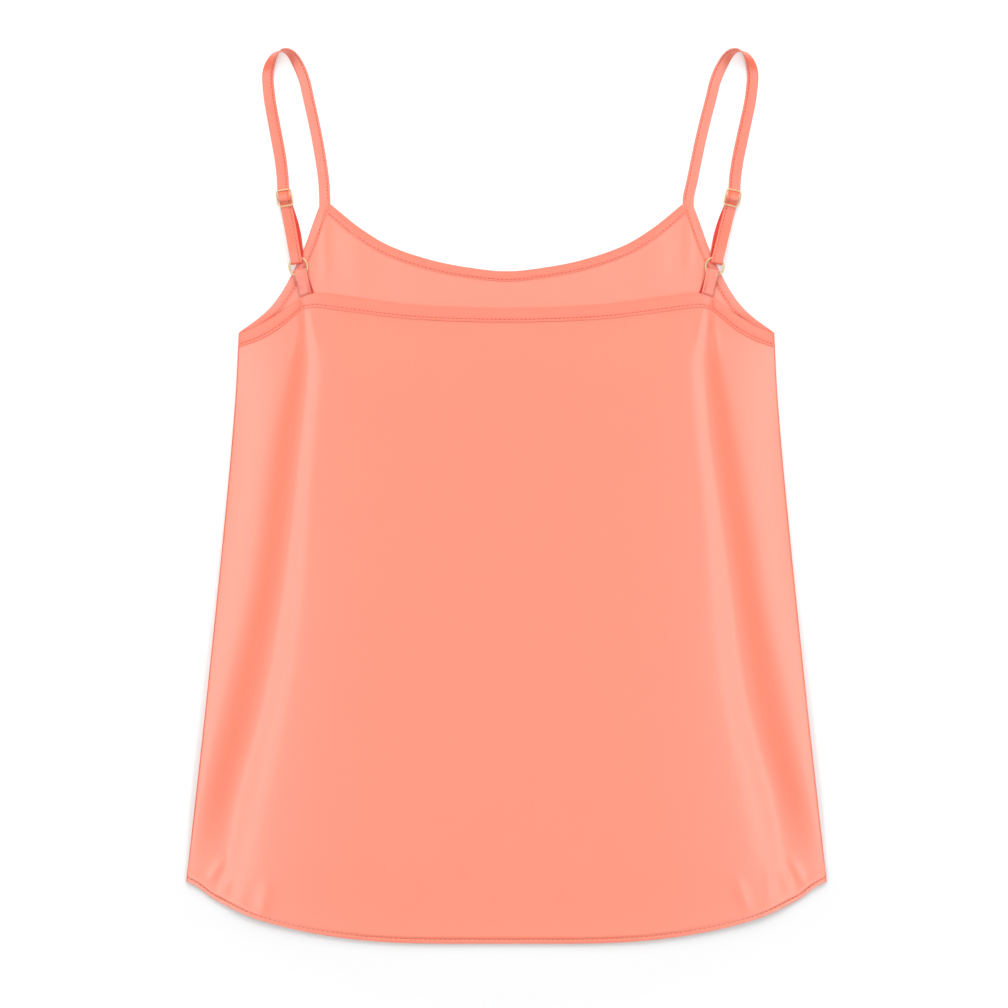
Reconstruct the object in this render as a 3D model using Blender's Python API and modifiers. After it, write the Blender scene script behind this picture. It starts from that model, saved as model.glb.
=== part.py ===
"""Camisole top laid flat with its back up: two panels, bound edges and adjustable straps.

The tables below are in millimetres and the scene is in metres. X runs across the garment,
Y along it towards the straps, and Z up from the surface that it lies on. "across" is the
distance out from the centre line, "height" the distance up from the lowest point of the hem.
Left is the wearer's left, at -X.
"""
import math
from collections import namedtuple

import bmesh
import bpy
from mathutils import Vector

MM = 0.001
UP = Vector((0.0, 0.0, 1.0))
GARMENT = "camisole_top"

# ---- thicknesses and gaps ------------------------------------------------------------
CLOTH = 1.0                      # wall of a panel
BINDING = 1.4                    # folded strip along an edge
RIBBON = 1.0                     # folded ribbon of the straps and tabs
GAP = 0.3                        # between two pieces
BACK_REST = BINDING + GAP        # underside of the back, clear of the front and its bindings
MERGE = 0.001                    # corners nearer than this are one corner

# ---- outline -------------------------------------------------------------------------
LENGTH = 715.0                   # lowest point of the hem to the top of the straps
Level = namedtuple("Level", "height half_width")
SIDE_SEAM = (
    Level(49.8, 256.0),
    Level(114.6, 248.4),
    Level(194.6, 239.6),
    Level(354.6, 223.6),
    Level(434.6, 216.8),
    Level(488.4, 214.0),
)
Drop = namedtuple("Drop", "across height")
HEM = (
    Drop(0.0, 0.0),
    Drop(88.0, 0.9),
    Drop(144.0, 6.6),
    Drop(198.0, 19.1),
    Drop(232.0, 34.6),
    Drop(247.0, 45.4),
    Drop(256.0, 49.8),
)

# ---- bindings: each row is a station, from its free edge to its sewn edge --------------
Station = namedtuple("Station", "edge_across edge_height seam_across seam_height")
BACK_NECK = (
    Station(0.0, 508.2, 0.0, 496.6),
    Station(73.2, 510.6, 74.0, 499.0),
    Station(125.0, 517.0, 125.6, 505.0),
    Station(153.0, 519.9, 152.6, 508.4),
    Station(165.2, 516.2, 162.8, 507.4),
)
BACK_ARMHOLE = (
    Station(165.6, 515.8, 163.2, 507.0),
    Station(174.5, 508.9, 169.6, 501.6),
    Station(189.2, 499.4, 184.0, 489.8),
    Station(202.2, 492.2, 198.2, 482.0),
    Station(214.0, 488.0, 214.5, 476.4),
)
FRONT_NECK = (
    Station(0.0, 537.6, 0.0, 529.6),
    Station(29.0, 540.4, 30.2, 532.5),
    Station(60.4, 546.6, 62.5, 538.9),
    Station(93.2, 557.8, 96.5, 550.5),
    Station(117.2, 572.2, 121.8, 565.6),
    Station(140.6, 591.1, 142.8, 583.0),
)
FRONT_ARMHOLE = (
    Station(149.5, 590.0, 141.1, 590.0),
    Station(154.2, 577.6, 146.6, 574.8),
    Station(161.2, 557.8, 153.9, 554.4),
    Station(170.8, 537.0, 163.7, 533.4),
    Station(181.2, 518.6, 174.6, 514.1),
    Station(193.2, 504.2, 187.7, 498.4),
    Station(214.0, 488.4, 214.4, 478.4),
)
# shares of the way along a binding, from the centre line or the strap, where it is cut
# into sections; the panel below has its columns at the same places
NECK_SHARES = (0.0, 0.12, 0.24, 0.36, 0.47, 0.57, 0.66, 0.74, 0.81, 0.88, 0.94, 1.0)
ARMHOLE_SHARES = (0.0, 0.1, 0.2, 0.3, 0.4, 0.5, 0.6, 0.7, 0.8, 0.9, 1.0)
BINDING_ROWS = 2

# ---- soft folds of the back, from the strap corners to the hem's corners --------------
Fold = namedtuple("Fold", "height rim valley crest rim_rise valley_rise crest_rise")
FOLDS = (
    Fold(0.0, 200.0, 245.0, 253.0, 0.6, 0.2, 0.3),
    Fold(50.0, 190.0, 236.0, 250.0, 1.6, 0.3, 0.8),
    Fold(115.0, 172.0, 214.0, 240.0, 2.8, 0.3, 2.8),
    Fold(195.0, 158.0, 196.0, 225.0, 3.4, 0.3, 4.2),
    Fold(275.0, 148.0, 181.0, 210.0, 3.4, 0.3, 4.4),
    Fold(355.0, 140.0, 170.0, 197.0, 3.0, 0.4, 4.0),
    Fold(466.0, 136.0, 160.0, 174.0, 1.8, 0.6, 2.2),
    Fold(520.0, 135.0, 156.0, 164.0, 0.8, 0.6, 0.9),
)

BACK_ROWS = 20
FRONT_ROWS = 12
HEM_ROUNDS = 8                   # how often a column's foot is found again on the hem

# ---- rings and sliders ---------------------------------------------------------------
RING_ACROSS = 166.2
RING_HEIGHT = 541.0
RING_RADIUS = 7.25               # to the middle of the wire
RING_WIRE = 0.85                 # radius of the wire
RING_STEPS = 40
RING_WIRE_STEPS = 10
RING_CLEAR = 1.5 * GAP           # between the wire and the edges of a ribbon inside the ring
SLIDER_WIDTH = 11.9              # between the middles of the side bars
SLIDER_LENGTH = 12.7             # between the middles of the end bars
SLIDER_CORNER = 2.5
SLIDER_CORNER_STEPS = 4
SLIDER_WIRE = 0.65
SLIDER_WIRE_RESOLUTION = 2
SLIDER_ACROSS = {"left": 177.2, "right": 180.6}
SLIDER_HEIGHT = 596.0

# ---- straps: from the front, over the top of the loop and down to the slider -----------
RIBBON_WIDTH = 9.4
Turn = namedtuple("Turn", "across height roll lean width")
STRAP_LOOP = (
    Turn(145.3, 590.4, 180.0, 0.0, 8.8),
    Turn(145.4, 597.0, 180.0, 0.2, 8.8),
    Turn(146.2, 610.6, 180.0, 2.4, 8.7),
    Turn(148.4, 626.6, 180.0, 3.4, 8.7),
    Turn(151.2, 642.6, 180.0, 4.0, 8.7),
    Turn(154.4, 658.6, 180.0, 4.6, 8.7),
    Turn(158.0, 674.6, 180.0, 5.2, 8.7),
    Turn(162.0, 690.6, 178.0, 5.6, 8.8),
    Turn(167.2, 701.8, 168.0, 5.9, 8.9),
    Turn(172.8, 710.6, 138.0, 6.1, 9.0),
    Turn(178.6, 713.5, 97.0, 6.2, 9.1),
    Turn(184.0, 711.0, 60.0, 6.4, 9.1),
    Turn(188.0, 705.0, 32.0, 6.4, 9.1),
    Turn(190.3, 698.0, 12.0, 6.2, 9.1),
    Turn(190.8, 690.6, 2.0, 6.0, 9.1),
    Turn(189.2, 674.6, 0.0, 5.8, 9.2),
    Turn(186.4, 658.6, 0.0, 5.3, 9.3),
    Turn(183.4, 642.6, 0.0, 4.8, 9.4),
    Turn(180.6, 626.6, 0.0, 4.3, 9.4),
    Turn(179.0, 613.0, 0.0, 3.8, 9.4),
)
LOOP_SEGMENTS = 44
LOOP_CLEAR = 0.1                 # between a loop and the surface that it lies on
LEANS = {"left": 0.0, "right": 1.0}      # share of the lean column that each loop takes

# the straight stretch, measured from the ring along the strap; shift is towards the middle
Run = namedtuple("Run", "reach lift shift")
STRAP_OFFSET = 0.7               # the strap's line passes this far outside the ring's middle
STRAP_OUTER = (
    Run(50.0, 1.8, 0.0),
    Run(44.0, 1.8, 0.0),
    Run(32.0, 2.4, 0.0),
    Run(20.0, 4.1, 0.0),
    Run(10.0, 5.4, 0.0),
)
STRAP_INNER = (
    Run(12.0, 2.2, 1.9),
    Run(25.0, 1.0, 2.7),
    Run(38.0, 0.6, 2.0),
    Run(50.0, 0.5, 0.2),
)
WEAVE_SEGMENTS = 12              # over the slider's middle bar
RUN_SEGMENTS = 6                 # each layer between the slider and the ring
WRAP_SEGMENTS = 6                # round a bar
RISE_SEGMENTS = 5                # up from the surface to the middle bar
SEWN_END = 75.0                  # degrees up round the middle bar where the ribbon ends

# ---- tab: from the back's strap corner round the ring --------------------------------
TAB_FOOT_ACROSS = 161.8
TAB_FOOT_HEIGHT = 518.7
TAB_SHIFT = 2.4                  # hidden layer at the foot, towards the centre line
TAB_SEGMENTS = 5

# ---- heights that follow -------------------------------------------------------------
HALF_RIBBON = RIBBON / 2
TURN_RADIUS = RING_WIRE + GAP + HALF_RIBBON
RING_LIFT = BINDING + GAP + HALF_RIBBON + TURN_RADIUS
BAR_RADIUS = SLIDER_WIRE + GAP + HALF_RIBBON
SLIDER_LIFT = HALF_RIBBON + RIBBON + GAP + BAR_RADIUS
WEAVE_LOW = SLIDER_LIFT - BAR_RADIUS
WEAVE_HIGH = SLIDER_LIFT + BAR_RADIUS + RIBBON + GAP

SATIN = ("coral_satin", (0.93, 0.27, 0.19), 0.42, 0.0)
SATIN_INSIDE = ("coral_satin_inside", (0.93, 0.33, 0.24), 0.55, 0.0)
BIAS = ("coral_binding", (0.93, 0.26, 0.18), 0.45, 0.0)
STRAP = ("coral_ribbon", (0.93, 0.26, 0.18), 0.42, 0.0)
GOLD = ("gold_metal", (0.83, 0.62, 0.27), 0.25, 1.0)


# ======================================================================================
# Curves through the rows of a table
# ======================================================================================
def interpolate(knots, values, at):
    """Value at a place on a smooth curve that passes through every knot."""
    at = min(max(at, knots[0]), knots[-1])
    last = len(knots) - 2
    i = 0
    while i < last and at > knots[i + 1]:
        i += 1

    def slope(j):
        before = max(j - 1, 0)
        after = min(j + 1, len(knots) - 1)
        return (values[after] - values[before]) / (knots[after] - knots[before])

    span = knots[i + 1] - knots[i]
    t = (at - knots[i]) / span
    rest = 1 - t
    return (values[i] * (rest * rest * (1 + 2 * t))
            + values[i + 1] * (t * t * (3 - 2 * t))
            + slope(i) * (span * t * rest * rest)
            - slope(i + 1) * (span * t * t * rest))


def read(rows, key, column, at):
    """A column of a table, read at a place between its rows."""
    knots = [getattr(row, key) for row in rows]
    values = [getattr(row, column) for row in rows]
    return interpolate(knots, values, at)


def follow(rows, at):
    """All columns of a table at a share, 0 to 1, of the way along its curve."""
    knots = [0.0]
    for start, end in zip(rows, rows[1:]):
        knots.append(knots[-1] + math.dist(start[:2], end[:2]))
    length = knots[-1]
    if isinstance(rows[0], Station) and rows[0].edge_across == 0.0:
        beyond = rows[1]             # across the centre line the curve goes on mirrored
        mirrored = Station(-beyond.edge_across, beyond.edge_height,
                           -beyond.seam_across, beyond.seam_height)
        rows = (mirrored, *rows)
        knots = [-knots[1], *knots]
    return [interpolate(knots, [row[i] for row in rows], at * length)
            for i in range(len(rows[0]))]


def smooth_step(t):
    t = min(max(t, 0.0), 1.0)
    return t * t * (3 - 2 * t)


# ======================================================================================
# The garment's outline and relief
# ======================================================================================
def seam_half_width(height):
    return read(SIDE_SEAM, "height", "half_width", height)


def hem_height(across):
    return read(HEM, "across", "height", across)


def back_underside(across, height):
    """Height of the back's underside above the surface: its rest and its soft folds."""
    fold = [read(FOLDS, "height", name, height) for name in Fold._fields[1:]]
    rim, valley, crest, rim_rise, valley_rise, crest_rise = fold
    places = (0.0, rim, valley, crest, seam_half_width(height))
    rises = (0.0, rim_rise, valley_rise, crest_rise, 0.0)
    for i in range(len(places) - 1):
        if across <= places[i + 1]:
            share = smooth_step((across - places[i]) / (places[i + 1] - places[i]))
            return BACK_REST + rises[i] + (rises[i + 1] - rises[i]) * share
    return BACK_REST


def front_underside(_across, _height):
    """The front lies flat on the surface."""
    return 0.0


def place(across, height, lift, side=1):
    """World position of a point of the garment, in metres."""
    return Vector((side * across, height - LENGTH / 2, lift)) * MM


# ======================================================================================
# Blender helpers
# ======================================================================================
def clear_scene():
    for item in list(bpy.data.objects):
        bpy.data.objects.remove(item, do_unlink=True)


def make_collection(name):
    group = bpy.data.collections.new(name)
    bpy.context.scene.collection.children.link(group)
    return group


def material(look):
    name, colour, roughness, metallic = look
    found = bpy.data.materials.get(name)
    if found:
        return found
    made = bpy.data.materials.new(name)
    made.use_nodes = True
    shader = made.node_tree.nodes["Principled BSDF"]
    shader.inputs["Base Color"].default_value = (*colour, 1.0)
    shader.inputs["Roughness"].default_value = roughness
    shader.inputs["Metallic"].default_value = metallic
    return made


def add_object(name, mesh, look, group):
    made = bpy.data.objects.new(name, mesh)
    mesh.materials.append(material(look))
    group.objects.link(made)
    return made


def grid_mesh(name, columns, rows, point_at, flip=False):
    """A sheet of columns x rows faces, each corner moved to point_at(column, row)."""
    shape = bmesh.new()
    bmesh.ops.create_grid(shape, x_segments=columns, y_segments=rows, size=0.5)
    for corner in shape.verts:
        column = round((corner.co.x + 0.5) * columns)
        row = round((corner.co.y + 0.5) * rows)
        corner.co = point_at(column, row)
    if flip:
        bmesh.ops.reverse_faces(shape, faces=shape.faces)
    mesh = bpy.data.meshes.new(name)
    shape.to_mesh(mesh)
    shape.free()
    mesh.shade_smooth()
    return mesh


def mirror_across(item):
    """Completes a half that is open at the centre line."""
    mirror = item.modifiers.new("other half", "MIRROR")
    mirror.merge_threshold = MERGE * MM


def thicken(item, thickness, offset):
    """Gives a sheet its wall: offset 1 adds it above the sheet, 0 on both sides."""
    wall = item.modifiers.new("wall", "SOLIDIFY")
    wall.thickness = thickness * MM
    wall.offset = offset


def tube_mesh(name, points, radius, cyclic):
    """A round wire through the points, as a mesh."""
    line = bpy.data.curves.new(name + "_line", "CURVE")
    line.dimensions = "3D"
    line.bevel_depth = radius * MM
    line.bevel_resolution = SLIDER_WIRE_RESOLUTION
    line.use_fill_caps = not cyclic
    spline = line.splines.new("POLY")
    spline.points.add(len(points) - 1)
    for corner, point in zip(spline.points, points):
        corner.co = (*(Vector(point) * MM), 1.0)
    spline.use_cyclic_u = cyclic
    guide = bpy.data.objects.new(name + "_line", line)
    bpy.context.scene.collection.objects.link(guide)
    bpy.context.view_layer.update()
    evaluated = guide.evaluated_get(bpy.context.evaluated_depsgraph_get())
    mesh = bpy.data.meshes.new_from_object(evaluated)
    mesh.name = name
    shape = bmesh.new()
    shape.from_mesh(mesh)
    bmesh.ops.remove_doubles(shape, verts=shape.verts, dist=MERGE * MM)
    shape.to_mesh(mesh)
    shape.free()
    mesh.materials.clear()
    bpy.data.objects.remove(guide, do_unlink=True)
    return mesh


# ======================================================================================
# Bindings
# ======================================================================================
def binding_point(stations, along, inwards, beyond=0.0):
    """A point on a binding, or `beyond` millimetres past its sewn edge."""
    edge_across, edge_height, seam_across, seam_height = follow(stations, along)
    edge = Vector((edge_across, edge_height))
    seam = Vector((seam_across, seam_height))
    width = (seam - edge).length
    return edge + (seam - edge) * (inwards + beyond / width)


def make_binding(name, stations, shares, underside, side, group):
    """A strip along an edge; side 0 spans the centre line, 1 and -1 are one armhole."""
    def corner(column, row):
        across, height = binding_point(stations, shares[column], 1 - row / BINDING_ROWS)
        return place(across, height, underside(across, height), side or 1)

    mesh = grid_mesh(name, len(shares) - 1, BINDING_ROWS, corner, flip=side < 0)
    strip = add_object(name, mesh, BIAS, group)
    if side == 0:
        mirror_across(strip)
    thicken(strip, BINDING, 1.0)


# ======================================================================================
# Panels
# ======================================================================================
def top_edge(neck, armhole):
    """Where the columns of a panel meet its bindings, from the centre line to the seam."""
    points = [binding_point(neck, share, 1.0, GAP) for share in NECK_SHARES]
    points += [binding_point(armhole, share, 1.0, GAP) for share in ARMHOLE_SHARES[1:]]
    return points


def make_panel(name, tops, rows, underside, look, group):
    """Columns keep their share of the width all the way down to the hem."""
    def corner(column, row):
        top_across, top_height = tops[column]
        share = top_across / seam_half_width(top_height)
        if column == len(tops) - 1:
            share = 1.0
        bottom = 0.0
        for _ in range(HEM_ROUNDS):
            bottom = hem_height(share * seam_half_width(bottom))
        height = bottom + (top_height - bottom) * row / rows
        across = share * seam_half_width(height)
        return place(across, height, underside(across, height))

    mesh = grid_mesh(name, len(tops) - 1, rows, corner)
    panel = add_object(name, mesh, look, group)
    mirror_across(panel)
    thicken(panel, CLOTH, 1.0)
    return panel


# ======================================================================================
# Ribbons
# ======================================================================================
def make_ribbon(name, stations, side, group):
    """A flat ribbon through stations of (centre, share of the full width as a vector)."""
    def corner(column, row):
        centre, width = stations[column]
        point = centre + width * (RIBBON_WIDTH * (row - 0.5))
        return place(point.x, point.y, point.z, side)

    mesh = grid_mesh(name, len(stations) - 1, 1, corner, flip=side < 0)
    ribbon = add_object(name, mesh, STRAP, group)
    thicken(ribbon, RIBBON, 0.0)


def loop_stations(lean_share):
    """Up from the front, turning over at the top, and down towards the slider."""
    centres = []
    rolls = []
    shares = []
    for i in range(LOOP_SEGMENTS + 1):
        across, height, roll, lean, width = follow(STRAP_LOOP, i / LOOP_SEGMENTS)
        roll = math.radians(roll)
        on_edge = width / 2 * abs(math.sin(roll))
        lift = on_edge + HALF_RIBBON * abs(math.cos(roll)) + LOOP_CLEAR
        centres.append(Vector((across + lean_share * lean, height, lift)))
        rolls.append(roll)
        shares.append(width / RIBBON_WIDTH)
    stations = []
    for i, roll in enumerate(rolls):
        ahead = centres[min(i + 1, LOOP_SEGMENTS)] - centres[max(i - 1, 0)]
        ahead.z = 0.0
        sideways = UP.cross(ahead.normalized())
        width = (sideways * math.cos(roll) - UP * math.sin(roll)) * shares[i]
        stations.append((centres[i], width))
    return stations


def turn_stations(centre, forward, sideways, radius, start, end):
    """Ribbon round a bar: angles in degrees from forward, rising towards +Z."""
    stations = []
    for i in range(WRAP_SEGMENTS + 1):
        angle = math.radians(start + (end - start) * i / WRAP_SEGMENTS)
        offset = forward * math.cos(angle) + UP * math.sin(angle)
        stations.append((centre + offset * radius, sideways))
    return stations


def run_stations(runs, at):
    """Ribbon along a table of reach, lift and shift."""
    stations = []
    for i in range(RUN_SEGMENTS + 1):
        reach, lift, shift = follow(runs, i / RUN_SEGMENTS)
        stations.append(at(reach, lift, shift))
    return stations


def turn_reach(offset):
    """Where a ribbon can turn inside the ring, its outer edge just clear of the wire."""
    edge = RIBBON_WIDTH / 2 + offset
    wire_inside = math.sqrt((RING_RADIUS - RING_WIRE) ** 2 - edge ** 2)
    return wire_inside + TURN_RADIUS - HALF_RIBBON - RING_CLEAR


def strap_stations(side_name):
    """One ribbon: loop, slider, ring, and back to the slider's middle bar."""
    slider = Vector((SLIDER_ACROSS[side_name], SLIDER_HEIGHT, 0.0))
    ring = Vector((RING_ACROSS + STRAP_OFFSET, RING_HEIGHT, 0.0))
    upwards = (slider - ring).normalized()
    sideways = upwards.cross(UP)
    slider_reach = (slider - ring).length
    bar_spacing = SLIDER_LENGTH / 2

    def at(reach, lift, shift=0.0):
        return (ring + upwards * reach - sideways * shift + UP * lift, sideways)

    stations = loop_stations(LEANS[side_name])
    for i in range(WEAVE_SEGMENTS + 1):
        from_bar = bar_spacing * (1 - 2 * i / WEAVE_SEGMENTS)
        swing = (1 + math.cos(math.pi * from_bar / bar_spacing)) / 2
        lift = WEAVE_LOW + (WEAVE_HIGH - WEAVE_LOW) * swing
        stations.append(at(slider_reach + from_bar, lift))

    stations += run_stations(STRAP_OUTER, at)[1:]
    reach = turn_reach(STRAP_OFFSET)
    bend = at(reach, RING_LIFT)[0]
    stations += turn_stations(bend, -upwards, sideways, TURN_RADIUS, 90.0, -90.0)
    stations += run_stations(STRAP_INNER, at)
    end_shift = STRAP_INNER[-1].shift
    for i in range(1, RISE_SEGMENTS):
        share = i / RISE_SEGMENTS
        lift = HALF_RIBBON + (WEAVE_LOW - HALF_RIBBON) * smooth_step(share)
        stations.append(at(slider_reach - bar_spacing * (1 - share), lift, end_shift))
    middle_bar = at(slider_reach, SLIDER_LIFT, end_shift)[0]
    stations += turn_stations(middle_bar, upwards, sideways, BAR_RADIUS, -90.0, SEWN_END)
    return stations


def tab_stations():
    """From the back's corner over the ring's wire and back beneath."""
    foot = Vector((TAB_FOOT_ACROSS, TAB_FOOT_HEIGHT, 0.0))
    ring = Vector((RING_ACROSS + STRAP_OFFSET, RING_HEIGHT, 0.0))
    upwards = (ring - foot).normalized()
    sideways = upwards.cross(UP)
    bend_reach = (ring - foot).length - turn_reach(STRAP_OFFSET)
    over_ring = RING_LIFT + TURN_RADIUS
    under_ring = RING_LIFT - TURN_RADIUS
    over_foot = under_ring + RIBBON + GAP
    straight = bend_reach - RING_RADIUS / 2

    def at(reach, lift, shift=0.0):
        return (foot + upwards * reach - sideways * shift + UP * lift, sideways)

    stations = []
    for i in range(TAB_SEGMENTS + 1):
        share = i / TAB_SEGMENTS
        lift = over_foot + (over_ring - over_foot) * smooth_step(share)
        stations.append(at(straight * share, lift))
    bend = at(bend_reach, RING_LIFT)[0]
    stations += turn_stations(bend, upwards, sideways, TURN_RADIUS, 90.0, -90.0)
    for i in range(TAB_SEGMENTS + 1):
        share = i / TAB_SEGMENTS
        stations.append(at(straight * (1 - share), under_ring, TAB_SHIFT * share))
    return stations


# ======================================================================================
# Metal
# ======================================================================================
def make_ring(name, side, group):
    bpy.ops.mesh.primitive_torus_add(
        major_radius=RING_RADIUS * MM, minor_radius=RING_WIRE * MM,
        major_segments=RING_STEPS, minor_segments=RING_WIRE_STEPS,
        location=place(RING_ACROSS, RING_HEIGHT, RING_LIFT, side))
    ring = bpy.context.active_object
    ring.name = name
    ring.data.materials.append(material(GOLD))
    ring.data.shade_smooth()
    for owner in list(ring.users_collection):
        owner.objects.unlink(ring)
    group.objects.link(ring)


def slider_outline():
    """Points round a frame with round corners, along the middle of the wire."""
    points = []
    reach_x = SLIDER_WIDTH / 2 - SLIDER_CORNER
    reach_y = SLIDER_LENGTH / 2 - SLIDER_CORNER
    for quarter, (x, y) in enumerate(((1, 1), (-1, 1), (-1, -1), (1, -1))):
        turn = math.radians(90 * quarter)
        middle = Vector((x * reach_x, y * reach_y, 0.0))
        for i in range(SLIDER_CORNER_STEPS + 1):
            angle = turn + math.pi / 2 * i / SLIDER_CORNER_STEPS
            outwards = Vector((math.cos(angle), math.sin(angle), 0.0))
            points.append(middle + outwards * SLIDER_CORNER)
    return points


def make_slider(name, side_name, side, group, cutters):
    """A wire frame and a middle bar, joined."""
    slider = Vector((SLIDER_ACROSS[side_name], SLIDER_HEIGHT))
    ring = Vector((RING_ACROSS + STRAP_OFFSET, RING_HEIGHT))
    lean = math.atan2(slider.x - ring.x, slider.y - ring.y)
    where = place(slider.x, slider.y, SLIDER_LIFT, side)

    frame_mesh = tube_mesh(name, slider_outline(), SLIDER_WIRE, True)
    frame = add_object(name, frame_mesh, GOLD, group)
    half = SLIDER_WIDTH / 2
    ends = [(-half, 0.0, 0.0), (half, 0.0, 0.0)]
    bar_mesh = tube_mesh(name + "_bar", ends, SLIDER_WIRE, False)
    bar = add_object(name + "_bar", bar_mesh, GOLD, cutters)
    bar.hide_render = True
    bar.display_type = "WIRE"
    for item in (frame, bar):
        item.location = where
        item.rotation_euler.z = -side * lean
    frame.data.shade_smooth()
    join = frame.modifiers.new("middle bar", "BOOLEAN")
    join.operation = "UNION"
    join.object = bar


# ======================================================================================
# The garment
# ======================================================================================
def build():
    clear_scene()
    parts = make_collection(GARMENT)
    cutters = make_collection("cutters")

    back_tops = top_edge(BACK_NECK, BACK_ARMHOLE)
    make_panel("back_panel", back_tops, BACK_ROWS, back_underside, SATIN, parts)
    front_tops = top_edge(FRONT_NECK, FRONT_ARMHOLE)
    make_panel("front_panel", front_tops, FRONT_ROWS, front_underside, SATIN_INSIDE, parts)

    make_binding("back_neck_binding", BACK_NECK, NECK_SHARES, back_underside, 0, parts)
    make_binding("front_neck_binding", FRONT_NECK, NECK_SHARES, front_underside, 0, parts)
    for side_name, side in (("left", -1), ("right", 1)):
        make_binding("armhole_binding_back_" + side_name, BACK_ARMHOLE,
                     ARMHOLE_SHARES, back_underside, side, parts)
        make_binding("armhole_binding_front_" + side_name, FRONT_ARMHOLE,
                     ARMHOLE_SHARES, front_underside, side, parts)
        make_ribbon("strap_" + side_name, strap_stations(side_name), side, parts)
        make_ribbon("tab_" + side_name, tab_stations(), side, parts)
        make_ring("ring_" + side_name, side, parts)
        make_slider("slider_" + side_name, side_name, side, parts, cutters)


build()
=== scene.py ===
# %% [markdown]
# # A satin camisole top, laid flat with its back up
# The real top is two panels of coral satin joined at the sides, bias strips folded over the
# neck and armhole edges, and two narrow straps that run through gold sliders and rings.
# We rebuild its look around a imported CAD model: the CAD says where everything is, and each
# cloth piece here is a finer, thinner form that lies where its CAD solid lies.
# First the CAD model is loaded, and its box is kept; it is printed at the end.

# %% Load the frame
import math
from collections import namedtuple

import bmesh
import bpy
import numpy as np
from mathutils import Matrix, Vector

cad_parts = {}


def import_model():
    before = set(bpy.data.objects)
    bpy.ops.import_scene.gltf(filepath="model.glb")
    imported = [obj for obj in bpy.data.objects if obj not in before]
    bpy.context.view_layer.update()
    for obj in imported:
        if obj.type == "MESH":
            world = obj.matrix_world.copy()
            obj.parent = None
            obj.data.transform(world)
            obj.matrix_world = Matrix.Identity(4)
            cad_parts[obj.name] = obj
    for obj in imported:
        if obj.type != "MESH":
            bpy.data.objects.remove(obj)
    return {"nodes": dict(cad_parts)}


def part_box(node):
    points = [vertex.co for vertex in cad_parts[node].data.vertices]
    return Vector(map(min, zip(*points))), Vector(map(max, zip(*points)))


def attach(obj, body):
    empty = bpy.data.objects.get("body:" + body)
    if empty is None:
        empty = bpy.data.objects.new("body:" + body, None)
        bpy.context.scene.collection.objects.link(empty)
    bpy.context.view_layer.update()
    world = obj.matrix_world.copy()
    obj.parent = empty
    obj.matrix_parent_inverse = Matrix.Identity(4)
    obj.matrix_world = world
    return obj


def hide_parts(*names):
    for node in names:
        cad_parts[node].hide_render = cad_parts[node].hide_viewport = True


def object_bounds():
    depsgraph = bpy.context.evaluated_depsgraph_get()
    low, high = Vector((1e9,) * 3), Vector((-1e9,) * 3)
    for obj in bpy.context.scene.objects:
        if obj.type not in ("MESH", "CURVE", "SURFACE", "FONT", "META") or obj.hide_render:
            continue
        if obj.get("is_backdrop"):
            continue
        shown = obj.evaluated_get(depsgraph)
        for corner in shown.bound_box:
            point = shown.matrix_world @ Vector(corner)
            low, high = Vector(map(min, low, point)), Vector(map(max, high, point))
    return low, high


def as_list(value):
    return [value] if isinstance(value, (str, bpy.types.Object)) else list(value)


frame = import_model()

CAD_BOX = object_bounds()
MM = 0.001
UP = Vector((0.0, 0.0, 1.0))
HEM_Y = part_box("back_panel")[0].y / MM  # lowest point of the hem
LENGTH = (CAD_BOX[1].y - CAD_BOX[0].y) / MM
print("the garment is", round(LENGTH, 1), "mm long and starts at y =", round(HEM_Y, 1), "mm")

# %% [markdown]
# ## Measuring the top
# A pattern cutter measures a garment from two lines: out from its centre line, and up from
# the lowest point of its hem. All tables below do the same, in millimetres: "across" is the
# distance from the centre line and "height" the distance up from the hem. The side seams
# lean out towards the hem, and the hem dips in the middle.

# %% Outline
CLOTH = 0.45  # satin, with its turned edges a little thicker than one layer
BACK_REST = 1.75  # the back lies this far up, on the front and its bindings
NECK_SINK = 1.1  # and this much lower at its neckline, on the bare front
ARMHOLE_SINK = 0.35  # less at the armholes, on the front's bindings
HEM_SINK = 0.5  # and at its hem
FRONT_SEAM_RISE = 0.75  # the front's side edge comes up to meet the back's
ARMHOLE_CURL = 0.13  # slope of the front's armhole edge, curling up past the back's

SIDE_SEAM = {"height": (49.8, 114.6, 194.6, 354.6, 434.6, 488.4),
             "half_width": (256, 248.4, 239.6, 223.6, 216.8, 214)}
HEM = {"across": (0, 88, 144, 198, 232, 247, 256),
       "height": (0, 0.9, 6.6, 19.1, 34.6, 45.4, 49.8)}


def curve(knots, values, at):
    """Values on a smooth curve through the knots, read at many places at once."""
    knots = np.asarray(knots, float)
    values = np.asarray(values, float)
    at = np.clip(at, knots[0], knots[-1])
    i = np.clip(np.searchsorted(knots, at, side="left") - 1, 0, len(knots) - 2)
    j = np.arange(len(knots))
    before, after = np.maximum(j - 1, 0), np.minimum(j + 1, len(knots) - 1)
    slope = (values[after] - values[before]) / (knots[after] - knots[before])
    span = knots[i + 1] - knots[i]
    t = (at - knots[i]) / span
    rest = 1 - t
    return (values[i] * rest * rest * (1 + 2 * t) + values[i + 1] * t * t * (3 - 2 * t)
            + slope[i] * span * t * rest * rest - slope[i + 1] * span * t * t * rest)


def half_width(height):
    return curve(SIDE_SEAM["height"], SIDE_SEAM["half_width"], height)


def hem_height(across):
    return curve(HEM["across"], HEM["height"], np.abs(across))


def smooth_step(t):
    t = np.clip(t, 0.0, 1.0)
    return t * t * (3 - 2 * t)


def ease(value, span):
    """0 before a span, 1 after it, and a smooth step between."""
    return smooth_step((value - span[0]) / (span[1] - span[0]))


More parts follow.
